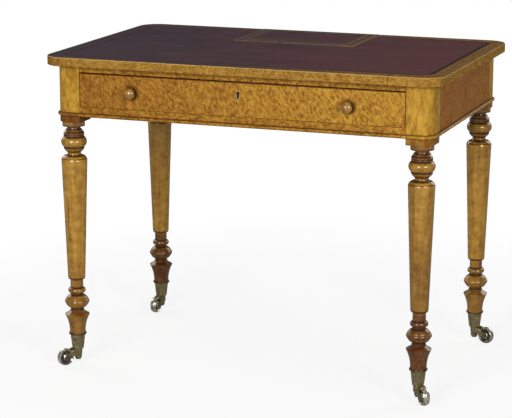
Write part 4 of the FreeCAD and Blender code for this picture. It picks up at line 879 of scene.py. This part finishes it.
IMAGE_WIDTH = 512
FOCAL_PIXELS = 2023.9
SENSOR = 36.0
CAMERA_PLACE = (1.5608, -4.3808, 1.4014)
CAMERA_YAW = 20.315
CAMERA_PITCH = 12.752
TABLE_MIDDLE = (0, 0, 0.45)
WHITE = (1, 1, 1, 1)
WORLD_STRENGTH = 0.12
FLOOR_REACH = 40.0
FLOOR_GREY = (0.42, 0.42, 0.42, 1)
# How much of the floor that the eye sees is its own glow; the rest shows the table's shadow.
FLOOR_GLOW_SHARE = 0.56
# The strength of that glow under the table and far from it, and the distances between which it grows; the
# weaker glow near the table is painted shade round it.
FLOOR_GLOW = (1.47, 1.74)
FLOOR_GLOW_GROWS = (0.6, 2.4)
# The white sweep that mirror rays meet: its strength, the heights between which it fades, its strength on the
# floor at the table, and the distances between which it grows there.
SWEEP_STRENGTH = 0.20
SWEEP_FADES = (0.05, 0.30)
SWEEP_AT_TABLE = 0.03
SWEEP_GROWS = (1.6, 4.5)


def make_camera():
    data = bpy.data.cameras.new("camera")
    data.sensor_width = SENSOR
    data.lens = FOCAL_PIXELS * SENSOR / IMAGE_WIDTH
    camera = bpy.data.objects.new("camera", data)
    camera.location = CAMERA_PLACE
    camera.rotation_euler = (math.radians(90 - CAMERA_PITCH), 0, math.radians(CAMERA_YAW))
    bpy.context.scene.collection.objects.link(camera)
    bpy.context.scene.camera = camera


def make_light(name, place, target, size, power):
    """A square soft light that faces its target."""
    data = bpy.data.lights.new(name, "AREA")
    data.size = size
    data.energy = power
    light = bpy.data.objects.new(name, data)
    light.location = place
    light.rotation_euler = (Vector(target) - Vector(place)).to_track_quat("-Z", "Y").to_euler()
    bpy.context.scene.collection.objects.link(light)


def seen_directly(tree, sweep):
    """1 for rays from the eye; for mirror and see-through rays, the strength of the white sweep they meet."""
    path = tree.add("ShaderNodeLightPath").outputs
    mirrored = tree.most(path["Is Glossy Ray"], path["Is Transmission Ray"])
    return tree.most(path["Is Camera Ray"], tree.times(mirrored, sweep))


def make_world():
    """White to the eye and dim as light; mirror rays meet a brighter band round the horizon."""
    world = bpy.data.worlds.new("studio")
    bpy.context.scene.world = world
    world.use_nodes = True
    tree = Tree(world.node_tree)
    background = world.node_tree.nodes["Background"]
    background.inputs["Color"].default_value = WHITE
    up = tree.part(tree.coordinate("Generated"), "Z")
    seen = seen_directly(tree, tree.fading(up, *SWEEP_FADES, start=SWEEP_STRENGTH))
    strength = tree.math("MULTIPLY_ADD", seen, 1.0 - WORLD_STRENGTH, WORLD_STRENGTH)
    tree.feed(background.inputs["Strength"], strength)


def floor_material():
    """White to the eye, darkened where the table shades it, and with painted shade from a weaker glow near
    the table.
    """
    shader = Shader("floor")
    shader.set(Base_Color=FLOOR_GREY, Roughness=1.0, Specular_IOR_Level=0.0)
    length = shader.add("ShaderNodeVectorMath", operation="LENGTH")
    shader.feed(length.inputs[0], shader.place)
    away = length.outputs["Value"]
    glow = shader.add("ShaderNodeEmission")
    # A weaker glow near the table paints shade round it.
    shader.feed(glow.inputs["Strength"], shader.between(away, *FLOOR_GLOW_GROWS, *FLOOR_GLOW))
    sweep = shader.between(away, *SWEEP_GROWS, start=SWEEP_AT_TABLE, end=SWEEP_STRENGTH)
    blend = shader.add("ShaderNodeMixShader")
    shader.feed(blend.inputs["Fac"], shader.times(seen_directly(shader, sweep), FLOOR_GLOW_SHARE))
    shader.feed(blend.inputs[1], shader.surface.outputs["BSDF"])
    shader.feed(blend.inputs[2], glow.outputs["Emission"])
    shader.feed(shader.tree.nodes["Material Output"].inputs["Surface"], blend.outputs["Shader"])
    return shader.material


def make_floor():
    mesh = bpy.data.meshes.new("floor")
    corners = [(x * FLOOR_REACH, y * FLOOR_REACH, 0) for x, y in ((-1, -1), (1, -1), (1, 1), (-1, 1))]
    mesh.from_pydata(corners, [], [(0, 1, 2, 3)])
    mesh.materials.append(floor_material())
    floor = bpy.data.objects.new("floor", mesh)
    bpy.context.scene.collection.objects.link(floor)


make_camera()
make_world()
make_light("left_softbox", place=(-0.35, -3.90, 1.55), target=TABLE_MIDDLE, size=1.25, power=92.0)
make_light("right_softbox", place=(2.95, -2.50, 1.60), target=TABLE_MIDDLE, size=1.00, power=58.0)
make_light("overhead", place=(0, 0, 3.4), target=(0, 0, 0), size=2.4, power=8.0)
make_light("back_left_softbox", place=(-3.30, 1.70, 2.30), target=TABLE_MIDDLE, size=2.40, power=46.0)
make_light("back_right_softbox", place=(1.90, 3.50, 2.30), target=TABLE_MIDDLE, size=2.40, power=46.0)
make_floor()
bpy.context.scene.view_settings.view_transform = "Standard"
